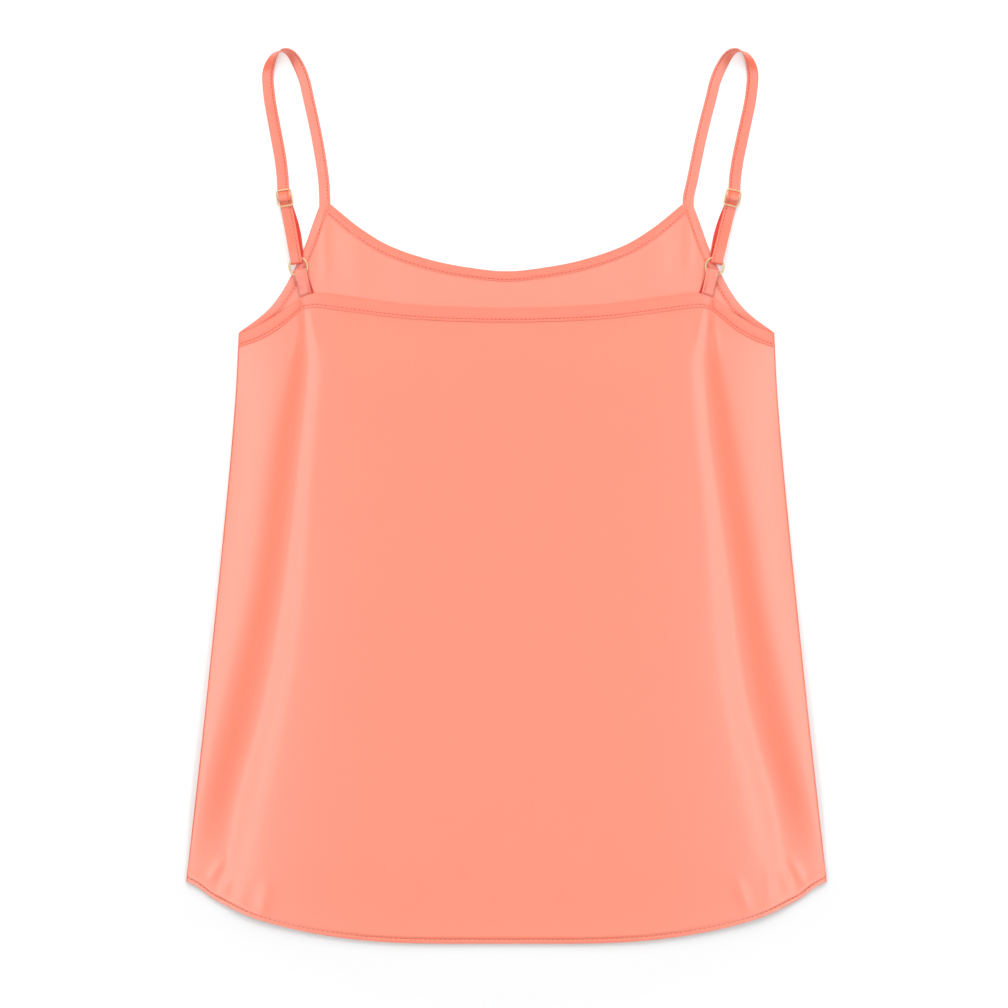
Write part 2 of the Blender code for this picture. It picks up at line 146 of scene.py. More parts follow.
def hump(distance, width):
    """A soft bump that is 1 in the middle and fades away on both sides."""
    return np.exp(-(distance / width) ** 2)


under_arms, at_hem = 2 * half_width(SIDE_SEAM["height"][-1]), 2 * half_width(0.0)
print("width under the arms", under_arms, "mm, at the hem", at_hem, "mm")

# %% [markdown]
# ## Where the bindings run
# Each binding is given by stations. A station has two ends: a point on the binding's folded
# free edge, and the point across from it on the edge that is sewn down. Joining the
# stations with a smooth curve gives both edges, and so the width of the strip everywhere.

# %% Stations of the bindings
# edge_across, edge_height, seam_across, seam_height
BACK_NECK = ((0, 508.2, 0, 496.6), (73.2, 510.6, 74, 499), (125, 517, 125.6, 505),
             (153, 519.9, 152.6, 508.4), (165.2, 516.2, 162.8, 507.4))
BACK_ARMHOLE = ((165.6, 515.8, 163.2, 507), (174.5, 508.9, 169.6, 501.6),
                (189.2, 499.4, 184, 489.8), (202.2, 492.2, 198.2, 482),
                (214, 488, 214.5, 476.4))
FRONT_NECK = ((0, 537.6, 0, 529.6), (29, 540.4, 30.2, 532.5), (60.4, 546.6, 62.5, 538.9),
              (93.2, 557.8, 96.5, 550.5), (117.2, 572.2, 121.8, 565.6),
              (140.6, 591.1, 142.8, 583))
FRONT_ARMHOLE = ((149.5, 590, 141.1, 590), (154.2, 577.6, 146.6, 574.8),
                 (161.2, 557.8, 153.9, 554.4), (170.8, 537, 163.7, 533.4),
                 (181.2, 518.6, 174.6, 514.1), (193.2, 504.2, 187.7, 498.4),
                 (214, 488.4, 214.4, 478.4))


def travelled(points):
    """Distance along a line of points, from its first one."""
    steps = np.linalg.norm(np.diff(points, axis=0), axis=1)
    return np.concatenate([[0.0], np.cumsum(steps)])


def follow(rows, share):
    """All columns of a table at shares, 0 to 1, of the way along its curve."""
    rows = np.asarray(rows, float)
    knots = travelled(rows[:, :2])
    place = np.asarray(share, float) * knots[-1]
    if rows[0, 0] == 0.0:  # across the centre line a neckline goes on mirrored
        rows = np.concatenate([rows[1:2] * (-1, 1, -1, 1), rows])
        knots = np.concatenate([[-knots[1]], knots])
    return np.stack([curve(knots, rows[:, i], place) for i in range(rows.shape[1])], axis=-1)


def across_binding(stations, share, inwards):
    """Points on a binding, `inwards` millimetres from its free edge towards its sewn edge."""
    ends = follow(stations, share)
    edge, seam = ends[..., :2], ends[..., 2:]
    width = np.linalg.norm(seam - edge, axis=-1)
    inwards = np.broadcast_to(inwards, width.shape)
    return edge + (seam - edge) * (inwards / width)[..., None], width


def binding_width(stations, share):
    return across_binding(stations, share, 0.0)[1]


middle_width = binding_width(BACK_NECK, [0.0])[0]
print("the back neck binding is", round(middle_width, 1), "mm wide in the middle")

# %% [markdown]
# ## The folds of the back
# Satin that lies flat still keeps soft folds. Here one long trough on each side runs from the
# strap's corner down to the hem's corner. Seen in a cut across the top, the cloth rises a
# little to a rim, slopes down outwards and ever more steeply, turns in the valley, climbs
# steeply on the other side, rounds over a crest and rolls down to the side seam.
# A smooth step draws each of these slopes, so that no line shows where two of them meet.
# Cloth simulation could make folds as well, but not these folds in these places, so their
# sizes stand in a table. The left and right sides differ by a few millimetres, as hands
# lay cloth down.

# %% Table of the long folds, and their height
FOLDS = {
    "height":      (0, 34, 66, 115, 195, 275, 355, 419, 467, 491, 522),
    "rim":         (190, 182, 173, 164, 150, 142, 143, 138, 135, 147, 152),
    "valley":      (236, 231, 225.5, 215.5, 194, 181, 170, 162.5, 159, 161, 161.5),
    "crest":       (254.5, 252, 250, 243, 225.5, 207, 194.5, 184, 173, 168.5, 167.5),
    "rim_rise":    (0.5, 1.5, 2.6, 3.1, 2.8, 2.5, 1.9, 1.8, 1.7, 1, 0.6),
    "valley_rise": (0.2, 0.2, 0.2, 0.2, 0.2, 0.2, 0.2, 0.3, 0.3, 0.3, 0.4),
    "crest_rise":  (0.3, 0.4, 0.8, 3.7, 4.5, 3.9, 3.6, 3.3, 2.3, 1.3, 0.6),
    "seam_rise":   (0.3, 0.4, 0.75, 3.3, 3.6, 1.9, 0.9, 0.4, 0.1, 0, 0),
}
SIDE_SHIFT = {"height": (0, 115, 195, 300, 400, 490, 522),
              "left": (0, 1, 1, -0.6, 0.8, 0.4, 0),
              "right": (0, -0.8, -1, 0.6, -0.8, -0.4, 0)}
CENTRE_SHARE = 0.3  # rise of the centre line, as a share of the rim's rise
STEEPER_DOWN, STEEPER_ROLL = 2.4, 1.6  # powers: both slopes start gently, end steeply
SEAM_ROLL = 0.3  # how far the back's side edge drops, to lie on the front's
SEAM_ROLL_WIDTH = 0.9
SEAM_LIFT_WIDTH = 4.0  # before the crest, where the front's edge starts to rise
print("the fold has", len(FOLDS) - 1, "lines, given at", len(FOLDS["height"]), "heights")

# %% Height of the long folds
def fold_lines(across, height):
    """Where the rim, valley, crest and side seam run, and how high the cloth is on them."""
    fold = {name: curve(FOLDS["height"], values, height) for name, values in FOLDS.items()}
    shift = np.where(across < 0, curve(SIDE_SHIFT["height"], SIDE_SHIFT["left"], height),
                     curve(SIDE_SHIFT["height"], SIDE_SHIFT["right"], height))
    for name in ("rim", "valley", "crest"):
        fold[name] = fold[name] + shift
    fold["seam"] = np.maximum(half_width(height), fold["crest"] + 1.0)
    return fold


def fold_rise(across, height):
    """Height of the long folds above the back's rest."""
    fold = fold_lines(across, height)
    out = np.abs(across)
    share = CENTRE_SHARE + (1 - CENTRE_SHARE) * smooth_step(out / fold["rim"])
    dome = fold["rim_rise"] * share
    down = np.clip((out - fold["rim"]) / (fold["valley"] - fold["rim"]), 0, 1)
    down = smooth_step(down ** STEEPER_DOWN)
    up = ease(out, (fold["valley"], fold["crest"]))
    roll = np.clip((out - fold["crest"]) / (fold["seam"] - fold["crest"]), 0, 1)
    roll = roll ** STEEPER_ROLL
    return (dome - (fold["rim_rise"] - fold["valley_rise"]) * down
            + (fold["crest_rise"] - fold["valley_rise"]) * up
            - (fold["crest_rise"] - fold["seam_rise"]) * roll)


def seam_lift(across, height):
    """The front's side edge follows the back's up, over the last centimetre."""
    fold = fold_lines(across, height)
    start = fold["crest"] - SEAM_LIFT_WIDTH
    return fold["seam_rise"] * ease(np.abs(across), (start, fold["seam"]))


print("crest of the fold halfway down:", round(float(fold_rise(200.0, 300.0)), 2), "mm")

# %% [markdown]
# ## Small creases
# Between the long folds the cloth carries weaker marks: short puckers that fan up from the
# hem's corners, drag lines below the strap corners, and faint long waves in the middle.
# Each is a soft ridge or trough along a short line, with its own width and depth, and fades
# out towards its two ends. Uneven numbers keep them from looking like a pattern.

# %% Table of the small creases
# start across, start height, end across, end height, width, rise (minus is a trough)
BACK_CREASES = (
    # puckers that fan up from the left corner of the hem
    (-240, 47, -223.5, 72, 3.3, 0.60), (-229, 35.5, -220, 56, 3.6, 0.62),
    (-197, 19, -188.5, 56, 6, 0.72), (-213, 27, -208, 54, 4, 0.16),
    # and from the right corner
    (240.5, 44, 223.5, 73, 3.4, 0.60), (229, 37, 216, 67, 3.9, 0.62),
    (209.8, 29, 208.8, 80, 3.6, 0.30), (195, 21, 179.5, 63, 5, 0.60),
    # drag lines below the strap corners
    (-158, 506, -149, 470, 2.2, 0.34), (-163, 503, -170, 462, 2.6, 0.42),
    (-152, 506, -139, 478, 2.6, -0.20), (158, 506, 150, 474, 2.2, 0.32),
    (163, 503, 171, 458, 2.8, 0.44), (152, 506, 141, 476, 2.4, -0.22),
    # short puckers under the neck binding
    (-96, 501, -93, 482, 2.4, 0.12), (-71, 499, -70, 484, 2, -0.10),
    (-34, 497, -35, 478, 2.6, 0.10), (12, 496, 13, 480, 2.4, -0.09),
    (48, 498, 46, 476, 2.8, 0.11), (88, 500, 85, 483, 2.2, -0.10),
    (117, 504, 112, 484, 2.6, 0.13), (-121, 504, -117, 480, 2.6, -0.12),
    # long faint waves of the middle
    (-92, 470, -118, 120, 22, 0.30), (-38, 420, -52, 60, 26, -0.22),
    (26, 450, 34, 90, 24, 0.20), (84, 460, 104, 140, 24, -0.18),
    (-138, 300, -160, 60, 14, 0.28), (134, 330, 164, 70, 15, 0.24),
)
FRONT_CREASES = (
    (-127, 576, -116, 510, 10, 1.20), (126, 576, 114, 510, 10.5, 1.10),
    (-152, 580, -163, 505, 5.5, 0.75), (152, 580, 163, 505, 5.5, 0.78),
    (-147, 592, -144, 520, 4.4, 1.25), (147.5, 592, 145, 522, 4.4, 1.20),
    (-84, 552, -78, 506, 9, 0.32), (76, 550, 70, 505, 9, 0.30),
    (-38, 534, -34, 502, 9, 0.16), (30, 533, 34, 502, 9, 0.14),
)
print(len(BACK_CREASES), "creases on the back,", len(FRONT_CREASES), "on the front")

# %% Height of the small creases
FADE_IN, FADE_OUT = 0.35, 0.5  # shares of a crease's length in which it comes and goes


def crease_rise(creases, across, height):
    """Sum of all small ridges and troughs at each point."""
    total = np.zeros(np.broadcast(across, height).shape)
    for x0, y0, x1, y1, width, rise in creases:
        length = math.hypot(x1 - x0, y1 - y0)
        right, up = (x1 - x0) / length, (y1 - y0) / length
        travel = (across - x0) * right + (height - y0) * up
        aside = (across - x0) * up - (height - y0) * right
        fade = smooth_step(travel / (FADE_IN * length))
        fade = fade * smooth_step((length - travel) / (FADE_OUT * length))
        total += rise * fade * hump(aside, width)
    return total


tallest = max(crease[-1] for crease in BACK_CREASES)
print("the tallest crease of the back is", tallest, "mm high")

# %% Form of each panel
# heights, or distances out from the centre line, between which a change comes in
NECK_SPAN = (445.0, 505.0)  # the back sinks towards its neckline
SHOULDER_SPAN = (112.0, 148.0)  # from the neckline's sink to the armholes'
HEM_FADE = 14.0  # above the hem
MARKS_SPAN = (506.0, 522.0)  # the front's marks may be high only above the back
FLAT_MARK, FREE_MARK = 0.1, 1.6  # how high beneath it, and how much more above it
FRONT_SEAM_WIDTH = 6.0
CURL_SPAN, CURL_END = (483.0, 490.0), (500.0, 514.0)
JUST_OFF = 0.03  # the front's underside above the surface


def back_form(across, height):
    """Underside of the back panel and of its bindings, above the surface."""
    out = np.abs(across)
    roll = 1 - smooth_step((half_width(height) - out) / SEAM_ROLL_WIDTH)
    sink = NECK_SINK + (ARMHOLE_SINK - NECK_SINK) * ease(out, SHOULDER_SPAN)
    hem = 1 - smooth_step((height - hem_height(across)) / HEM_FADE)
    return (BACK_REST + fold_rise(across, height) + crease_rise(BACK_CREASES, across, height)
            - SEAM_ROLL * roll - sink * ease(height, NECK_SPAN) - HEM_SINK * hem)


def front_form(across, height):
    """Underside of the front panel and of its bindings: on the surface, with soft marks."""
    out = np.abs(across)
    marks = np.clip(crease_rise(FRONT_CREASES, across, height), 0.0,
                    FLAT_MARK + FREE_MARK * ease(height, MARKS_SPAN))
    seam = 1 - smooth_step((half_width(height) - out) / FRONT_SEAM_WIDTH)
    covered = np.interp(height, *np.array(BACK_ARMHOLE)[::-1, 1::-1].T)
    curl = np.maximum(out - covered, 0)
    curl = curl * ease(height, CURL_SPAN) * (1 - ease(height, CURL_END))
    return (JUST_OFF + marks + FRONT_SEAM_RISE * seam + seam_lift(across, height)
            + ARMHOLE_CURL * curl)


print("the back lies", round(float(back_form(0.0, 300.0)), 2), "mm up in its middle")

# %% [markdown]
# ## From numbers to a thin shell of cloth
# A panel is a grid of points. Columns keep their share of the width from the hem to the top,
# as the threads of an A-line panel nearly do, and rows follow the hem's curve. Rows stand
# close together in the turned hem and farther apart above it. Two such grids, one for each
# face of the cloth, are joined round the rim. Blender's Solidify would do this too, but here
# the thickness changes: the hem is turned up twice, so it is thicker and has a round edge.

# %% Mesh helpers
def world(across, height, lift):
    """Garment millimetres to the frame's metres."""
    return np.stack([across * MM, (height + HEM_Y) * MM, lift * MM], axis=-1)


def finish_mesh(name, points, faces, corner_uv, sharp=55.0):
    """Makes an object of points and faces, with its cloth coordinates in centimetres."""
    mesh = bpy.data.meshes.new(name)
    mesh.from_pydata(np.asarray(points).reshape(-1, 3).tolist(), [], faces)
    layer = mesh.uv_layers.new(name="cloth")
    layer.data.foreach_set("uv", np.asarray(corner_uv, np.float32).ravel())
    mesh.shade_smooth()
    mesh.set_sharp_from_angle(angle=math.radians(sharp))
    made = bpy.data.objects.new(name, mesh)
    bpy.context.scene.collection.objects.link(made)
    return made


def shell(name, across, height, low, high):
    """A closed thin shell: low and high are the heights of its two faces on one grid."""
    rows, columns = across.shape
    count = rows * columns
    points = np.concatenate([world(across, height, low).reshape(-1, 3),
                             world(across, height, high).reshape(-1, 3)])
    index = np.arange(count).reshape(rows, columns)
    a, b, c, d = index[:-1, :-1], index[:-1, 1:], index[1:, 1:], index[1:, :-1]
    above = np.stack([a, b, c, d], axis=-1).reshape(-1, 4) + count
    below = np.stack([a, d, c, b], axis=-1).reshape(-1, 4)
    ring = np.concatenate([index[0, :], index[1:, -1], index[-1, -2::-1], index[-2:0:-1, 0]])
    after = np.roll(ring, -1)
    rim = np.stack([ring, after, after + count, ring + count], axis=-1)
    faces = np.concatenate([above, below, rim])
    flat = np.stack([across.ravel(), height.ravel()], axis=-1) / 10.0
    corner_uv = np.concatenate([flat, flat])[faces.ravel()]
    made = finish_mesh(name, points, faces.tolist(), corner_uv)
    print(name, "has", 2 * len(faces), "triangles")
    return made, len(above)


# %% [markdown]
# ## The two panels
# The hem is turned up and stitched, so it is about 1.2 mm thick, ends in a round fold, and
# holds the panel up a little behind it. The top of a panel disappears between the two leaves
# of its binding, so the panel is lifted there by the thickness of the lower leaf.

# %% Rows and columns of a panel
HEM_THICK = 1.15
HEM_TURN = 5.6  # width of the turned hem
HEM_STITCH = 3.3  # stitch line above the hem's edge
HEM_SLOPE = 0.45  # how much lower the turned hem is at its edge
HEM_OPEN = 0.06  # the round fold starts this far open
HEM_BEHIND = 9.0  # behind the turn the panel comes down over this far
HEM_STEP = (HEM_TURN - 0.25, HEM_TURN + 0.45)  # where the turned edge ends underneath
STITCH_DIP = 0.24  # how deep a line of stitches pulls the cloth in
DIP_WIDTH = 0.55
LEAF = 0.30  # one leaf of a folded binding
TUCK = 4.8  # how far a panel reaches into its binding
SQUEEZE = 0.55  # share of its thickness that it loses between the leaves
BESIDE_BINDING = 0.8  # a panel is lifted this far beyond its binding
LIFT_FADE = 6.0  # and comes down over this far
LEAF_ROOM = LEAF + 0.03
SIDE_INSET = 0.35  # the front's side edge is this far inside the back's
BACK_ROWS, FRONT_ROWS = 150, 104
HEM_ROWS = (0, 0.12, 0.32, 0.62, 1.1, 1.8, 2.4, 2.8, 3.05, 3.3, 3.55, 3.8, 4.4, 5.1, 5.6,
            6, 6.5, 7.4, 8.6, 10.2, 12.2, 14.5, 17)
SHARES = np.concatenate([np.arange(0.0, 0.56, 0.02), np.linspace(0.56, 0.982, 66),
                         (0.986, 0.9895, 0.9925, 0.995, 0.997, 0.9985, 0.9995, 1.0)])
SHARES = np.concatenate([-SHARES[:0:-1], SHARES])
FINE = np.linspace(0.0, 1.0, 121)
print("a panel has", len(SHARES), "columns, and", len(HEM_ROWS), "rows near its hem")

# %% Grid of a panel
def panel_grid(neck, armhole, rows):
    """Across and height of every point of a panel, and the distance up from its hem."""
    top = np.concatenate([
        across_binding(stations, FINE, binding_width(stations, FINE) - TUCK)[0]
        for stations in (neck, armhole)])
    top_share = np.maximum.accumulate(top[:, 0] / half_width(top[:, 1]))
    share = np.abs(SHARES)
    top_height = np.interp(share, top_share, top[:, 1])
    bottom = np.zeros_like(share)
    for _ in range(12):
        bottom = hem_height(share * half_width(bottom))
    up = np.asarray(HEM_ROWS)[:, None] + 0 * share
    rest = np.linspace(0.0, 1.0, rows + 1)[1:, None]
    up = np.concatenate([up, HEM_ROWS[-1] + (top_height - bottom - HEM_ROWS[-1]) * rest])
    height = bottom + up
    return SHARES * half_width(height), height, up


print("the back's grid is", panel_grid(BACK_NECK, BACK_ARMHOLE, BACK_ROWS)[0].shape)

# %% How bindings and hem shape a panel
def binding_lift(neck, armhole, across, height):
    """1 inside the bindings, fading to 0 a few millimetres outside them."""
    lift = np.zeros(across.shape)
    share = np.linspace(0.0, 1.0, 61)
    for stations in (neck, armhole):
        width = binding_width(stations, share)
        line, _ = across_binding(stations, share, width / 2)
        away = np.min([np.hypot(np.abs(across) - x, height - y) for x, y in line], axis=0)
        away = away - width.mean() / 2 - BESIDE_BINDING
        lift = np.maximum(lift, 1 - smooth_step(away / LIFT_FADE))
    return lift


def hem_faces(up, low, cloth):
    """Both faces near a hem: a thick turned edge with a round fold, then one layer."""
    half = HEM_THICK / 2
    fold = np.sqrt(1 - (1 - np.clip((up + HEM_OPEN) / half, 0, 1)) ** 2)
    behind = smooth_step((up - HEM_TURN) / HEM_BEHIND)
    step = ease(up, HEM_STEP)
    dip = STITCH_DIP * hump(up - HEM_STITCH, DIP_WIDTH)
    slope = HEM_SLOPE * np.clip(1 - up / HEM_TURN, 0.0, 1.0)
    high = low + half + (half - dip - slope) * fold
    high = high * (1 - behind) + (low + cloth) * behind
    under = low + half - half * fold + 2 * dip
    under = under * (1 - step) + (high - cloth) * step
    return under, high


# %% Shape both panels
def make_panel(name, neck, armhole, form, rows, inset=0.0):
    """A panel, its side edges brought in by an inset, and how many faces its upper side has."""
    across, height, up = panel_grid(neck, armhole, rows)
    across = across * (1 - inset / half_width(height))
    bound = binding_lift(neck, armhole, across, height)
    low = form(across, height) + LEAF_ROOM * bound
    return shell(name, across, height, *hem_faces(up, low, CLOTH * (1 - SQUEEZE * bound)))


back_panel, back_faces = make_panel("back_panel_satin", BACK_NECK, BACK_ARMHOLE, back_form,
                                    BACK_ROWS)
front_panel, front_faces = make_panel("front_panel_satin", FRONT_NECK, FRONT_ARMHOLE,
                                      front_form, FRONT_ROWS, SIDE_INSET)

# %% [markdown]
# ## Folded bindings
# A bias binding is a strip folded round the edge like the letter U lying on its side, with
# the panel's edge between its two leaves. Its cut is drawn as one closed line: over the
# upper leaf, round the fold, back along the lower leaf, and inside again. That line is then
# swept along the stations. A row of stitches presses a groove into both leaves, and cloth
# cut on the bias twists a little between stitches, which shows as faint slanting ripples.

# %% Sweep helper
def sweep(name, rings, along, around):
    """Joins closed rings of points into a tube with flat ends, and returns the object."""
    stations, corners, _ = rings.shape
    index = np.arange(stations * corners).reshape(stations, corners)
    here, there = index[:-1], index[1:]
    side = np.stack([np.roll(here, -1, axis=1), np.roll(there, -1, axis=1), there, here],
                    axis=-1).reshape(-1, 4)
    girth = np.append(around, around[-1] + np.hypot(*(rings[0, 0, :2] - rings[0, -1, :2])))
    wide = np.stack([girth[1:], girth[1:], girth[:-1], girth[:-1]], -1)[None]
    length = np.stack([along[:-1], along[1:], along[1:], along[:-1]], -1)[:, None]
    sides = np.stack(np.broadcast_arrays(wide, length), axis=-1).reshape(-1, 2)
    first = np.stack([around, 0 * around], -1)
    last = np.stack([around, 0 * around + along[-1]], -1)[::-1]
    faces = side.tolist() + [index[0].tolist(), index[-1, ::-1].tolist()]
    made = finish_mesh(name, rings, faces, np.concatenate([sides, first, last]) / 10.0)
    shape = bmesh.new()
    shape.from_mesh(made.data)
    if shape.calc_volume(signed=True) < 0:
        bmesh.ops.reverse_faces(shape, faces=shape.faces)
        shape.to_mesh(made.data)
    shape.free()
    made.data.update()
    print(name, "has", 2 * len(side) + 2 * corners, "triangles")
    return made

# %% Cut of a folded binding
BIND = 1.02  # both leaves and the panel between them
LEAF_TOP = BIND - 0.04
EDGE_ROUND = 0.6  # the pressed fold curves over this far
EDGE_THIN = 0.30  # and is this much thinner than the middle of the strip
GROOVE = 0.34  # depth of the stitch line
GROOVE_WIDTH, UNDER_GROOVE_WIDTH = 0.45, 0.5
UNDER_GROOVE = 0.12  # depth of the stitch line on the lower leaf
CROWN = 0.12  # how much the strip swells between its edges
LIP, LIP_IN, LIP_WIDTH = 0.08, 1.2, 0.6  # ridge between the stitches and the sewn edge
SEWN_DROP, SEWN_WIDTH = 0.16, 0.45  # the sewn edge rounds down
THIN_WIDTH = 4.0  # the thin part near the fold
FOLD_RELIEF = 0.3  # share of the ripples that reaches the fold
RIPPLE, RIPPLE_LENGTH, RIPPLE_SLANT = 0.045, 4.3, 0.9
WAVE, WAVE_LENGTH = 0.05, 17.0


def leaf_top(d, width, stitch):
    """Height of the upper leaf, d millimetres in from the free edge."""
    dip = GROOVE * hump(d - stitch, GROOVE_WIDTH)
    crown = CROWN * math.sin(math.pi * min(max(d / width, 0.0), 1.0))
    lip = LIP * hump(d - stitch - LIP_IN, LIP_WIDTH)
    end = SEWN_DROP * (1 - min((width - d) / SEWN_WIDTH, 1.0)) ** 2
    thin = EDGE_THIN * (1 - float(smooth_step(d / THIN_WIDTH)))
    return LEAF_TOP - dip + crown + lip - end - thin


def binding_cut(width, stitch):
    """Closed line of a folded binding: (inwards from the free edge, lift, share of relief)."""
    half = (BIND - EDGE_THIN) / 2
    outer, inner = [], []
    for d in (width, width - 0.12, width - 0.45, width - 1.2, stitch + 1.3, stitch + 0.7,
              stitch + 0.35, stitch, stitch - 0.35, stitch - 0.7, stitch - 1.4,
              stitch * 0.62, stitch * 0.42, stitch * 0.30, stitch * 0.20, 1.35, 1.0):
        outer.append((d, leaf_top(d, width, stitch), 1.0))
        if 1.4 < d:
            inner.append((d, leaf_top(d, width, stitch) - LEAF, 1.0))
    for degrees in range(95, 266, 17):
        turn = math.radians(degrees)
        outer.append((EDGE_ROUND * (1 + math.cos(turn)), half + (half - 0.02) * math.sin(turn),
                      FOLD_RELIEF))
        inner.append((EDGE_ROUND + (EDGE_ROUND - LEAF) * math.cos(turn),
                      half + (half - LEAF) * math.sin(turn), FOLD_RELIEF))
    for d in (1.2, width * 0.35, stitch - 0.8, stitch - 0.3, stitch, stitch + 0.3,
              stitch + 0.8, width):
        dip = UNDER_GROOVE * hump(d - stitch, UNDER_GROOVE_WIDTH)
        outer.append((d, dip, 0.0))
        if 1.2 < d:
            inner.append((d, LEAF + dip, 0.0))
    return outer + inner[::-1]


print("the cut of a binding has", len(binding_cut(11.7, 9.4)), "corners")

# %% Sweep a binding along its edge
def mirrored(sides, count, start=0.0, end=1.0):
    """Shares along an edge and the side of each: over the centre line, or one side only."""
    if len(sides) == 2:
        signed = np.linspace(-1.0, 1.0, 2 * count + 1)
        return np.abs(signed), np.where(signed < 0, -1.0, 1.0)
    share = np.linspace(start, end, count + 1)
    return share, sides[0]


def make_binding(name, edge, spacing=0.85):
    """Sweeps a folded strip along an edge."""
    dense = across_binding(edge.stations, np.linspace(0, 1, 400), 0.0)[0]
    share, side = mirrored(edge.sides, int(travelled(dense)[-1] / spacing))
    width = binding_width(edge.stations, share)
    rng = np.random.default_rng(edge.seed)
    phase = np.cumsum(rng.normal(0.0, 0.16, len(share)))
    along = np.arange(len(share)) * spacing
    cut = binding_cut(width.mean(), edge.stitch_share * width.mean())
    rings = []
    for d, lift, relief in cut:
        place, _ = across_binding(edge.stations, share, d / width.mean() * width)
        ripple = np.sin(along * 2 * math.pi / RIPPLE_LENGTH + d * RIPPLE_SLANT + phase)
        wave = np.sin(along * 2 * math.pi / WAVE_LENGTH + 2.0 * phase + edge.seed)
        window = math.sin(math.pi * min(max(d / width.mean(), 0.0), 1.0))
        bumps = relief * window * (RIPPLE * ripple + WAVE * wave)
        base = edge.form(side * place[:, 0], place[:, 1])
        rings.append(world(side * place[:, 0], place[:, 1], base + lift + bumps))
    return sweep(name, np.stack(rings, axis=1), along, travelled(np.array(cut)[:, :2]))


# %% Make the six bindings
SIDES = {"left": -1, "right": 1}
BACK_STITCH, FRONT_STITCH = 0.80, 0.84  # share of a binding's width, from its free edge
NECK_PITCH, ARMHOLE_PITCH = 3.4, 3.2  # from one stitch to the next
Edge = namedtuple("Edge", "stations form stitch_share sides node seed thread_seed pitch")
EDGES = {  # in each name, {} stands for bias or stitches
    "back_neck_{}": Edge(BACK_NECK, back_form, BACK_STITCH, (-1, 1), "back_neck_binding",
                         3, 11, NECK_PITCH),
    "front_neck_{}": Edge(FRONT_NECK, front_form, FRONT_STITCH, (-1, 1), "front_neck_binding",
                          4, 12, NECK_PITCH),
}
for i, (label, side) in enumerate(SIDES.items()):
    EDGES["back_armhole_{}_" + label] = Edge(
        BACK_ARMHOLE, back_form, BACK_STITCH, (side,), "armhole_binding_back_" + label,
        5 + i, 20 + i, ARMHOLE_PITCH)
    EDGES["front_armhole_{}_" + label] = Edge(
        FRONT_ARMHOLE, front_form, FRONT_STITCH, (side,), "armhole_binding_front_" + label,
        7 + i, 30 + i, ARMHOLE_PITCH)
soft = {"back_panel": back_panel, "front_panel": front_panel}  # CAD node: its visible piece
for name, edge in EDGES.items():
    soft[edge.node] = make_binding(name.format("bias"), edge)

# %% [markdown]
# ## Straps and tabs
# A strap is satin ribbon folded to 9.4 mm and stitched near one edge. It leaves the front's
# top corner, turns over at the top of its loop, where it stands on edge, and comes down to
# the slider. It goes over the slider's middle bar, round the ring, and back under itself to
# the middle bar, where it is sewn. A short tab holds the ring to the back's corner.
# Each route is a list of stations: the ribbon's middle, and the direction of its width.

# %% Table of the strap
RIBBON_WIDTH = 9.4
RIBBON = 1.0  # thickness, folded
HALF = RIBBON / 2
GAP = 0.3  # between ribbon and wire
RING_WIRE, SLIDER_WIRE = 0.85, 0.65  # half the thickness of the wires
STRAP_OFFSET = 0.7  # outwards from the ring's middle
TURN_RADIUS = RING_WIRE + GAP + HALF
BAR_RADIUS = SLIDER_WIRE + 0.47  # the ribbon lies pressed against the bar
OVER_BAR = 0.90  # and this much higher where it crosses its own end
WEAVE_RUN = 5.6  # it rises to the bar over this far
SLIDER_LENGTH = 12.7
LEANS = {"left": 0.0, "right": 1.0}  # the right loop leans out a little more
RING_CLEAR = 1.5 * GAP
LOOP_CLEAR = 0.1  # between a loop and the surface
LOOP_START = 0.33  # the strap starts this far down in the front's corner

# across, height, roll, lean, width
STRAP_LOOP = ((145.3, 590.4, 180, 0, 8.8), (145.4, 597, 180, 0.2, 8.8),
              (146.2, 610.6, 180, 2.4, 8.7), (148.4, 626.6, 180, 3.4, 8.7),
              (151.2, 642.6, 180, 4, 8.7), (154.4, 658.6, 180, 4.6, 8.7),
              (158, 674.6, 180, 5.2, 8.7), (161.7, 690.6, 177, 5.6, 8.8),
              (166.2, 701.8, 166, 5.9, 8.9), (172, 710.6, 136, 6.1, 9),
              (178.6, 713.5, 97, 6.2, 9.1), (184, 711, 60, 6.4, 9.1),
              (188, 705, 32, 6.4, 9.1), (190.3, 698, 12, 6.2, 9.1),
              (190.8, 690.6, 2, 6, 9.1), (189.2, 674.6, 0, 5.8, 9.2),
              (186.4, 658.6, 0, 5.3, 9.3), (183.4, 642.6, 0, 4.8, 9.4),
              (180.6, 626.6, 0, 4.3, 9.4), (179, 613, 0, 3.8, 9.4))
# reach from the ring, lift, shift towards the middle, and tilt of the middle's side upwards
STRAP_OUTER = ((50, 2, 0, 0), (44, 1.9, 0, -4), (32, 2.2, 0, -8),
               (20, 3.8, 0, -8), (10, 5.4, 0, 0))
STRAP_INNER = ((12, 2.2, 1.9, 0), (25, 1.4, 2.7, -8), (38, 0.85, 2, -3),
               (50, 0.5, 0.2, 0))
print("the strap's loop has", len(STRAP_LOOP), "stations")

# %% Route of a strap
def centre_of(node):
    """Middle of a CAD node in garment millimetres, with across unsigned."""
    low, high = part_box(node)
    middle = (low + high) / 2 / MM
    return Vector((abs(middle.x), middle.y - HEM_Y, middle.z))


def ring_of(label):
    """Middle of a ring, and the radius of the circle that its wire follows."""
    low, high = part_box("ring_" + label)
    return centre_of("ring_" + label), (high.x - low.x) / MM / 2 - RING_WIRE


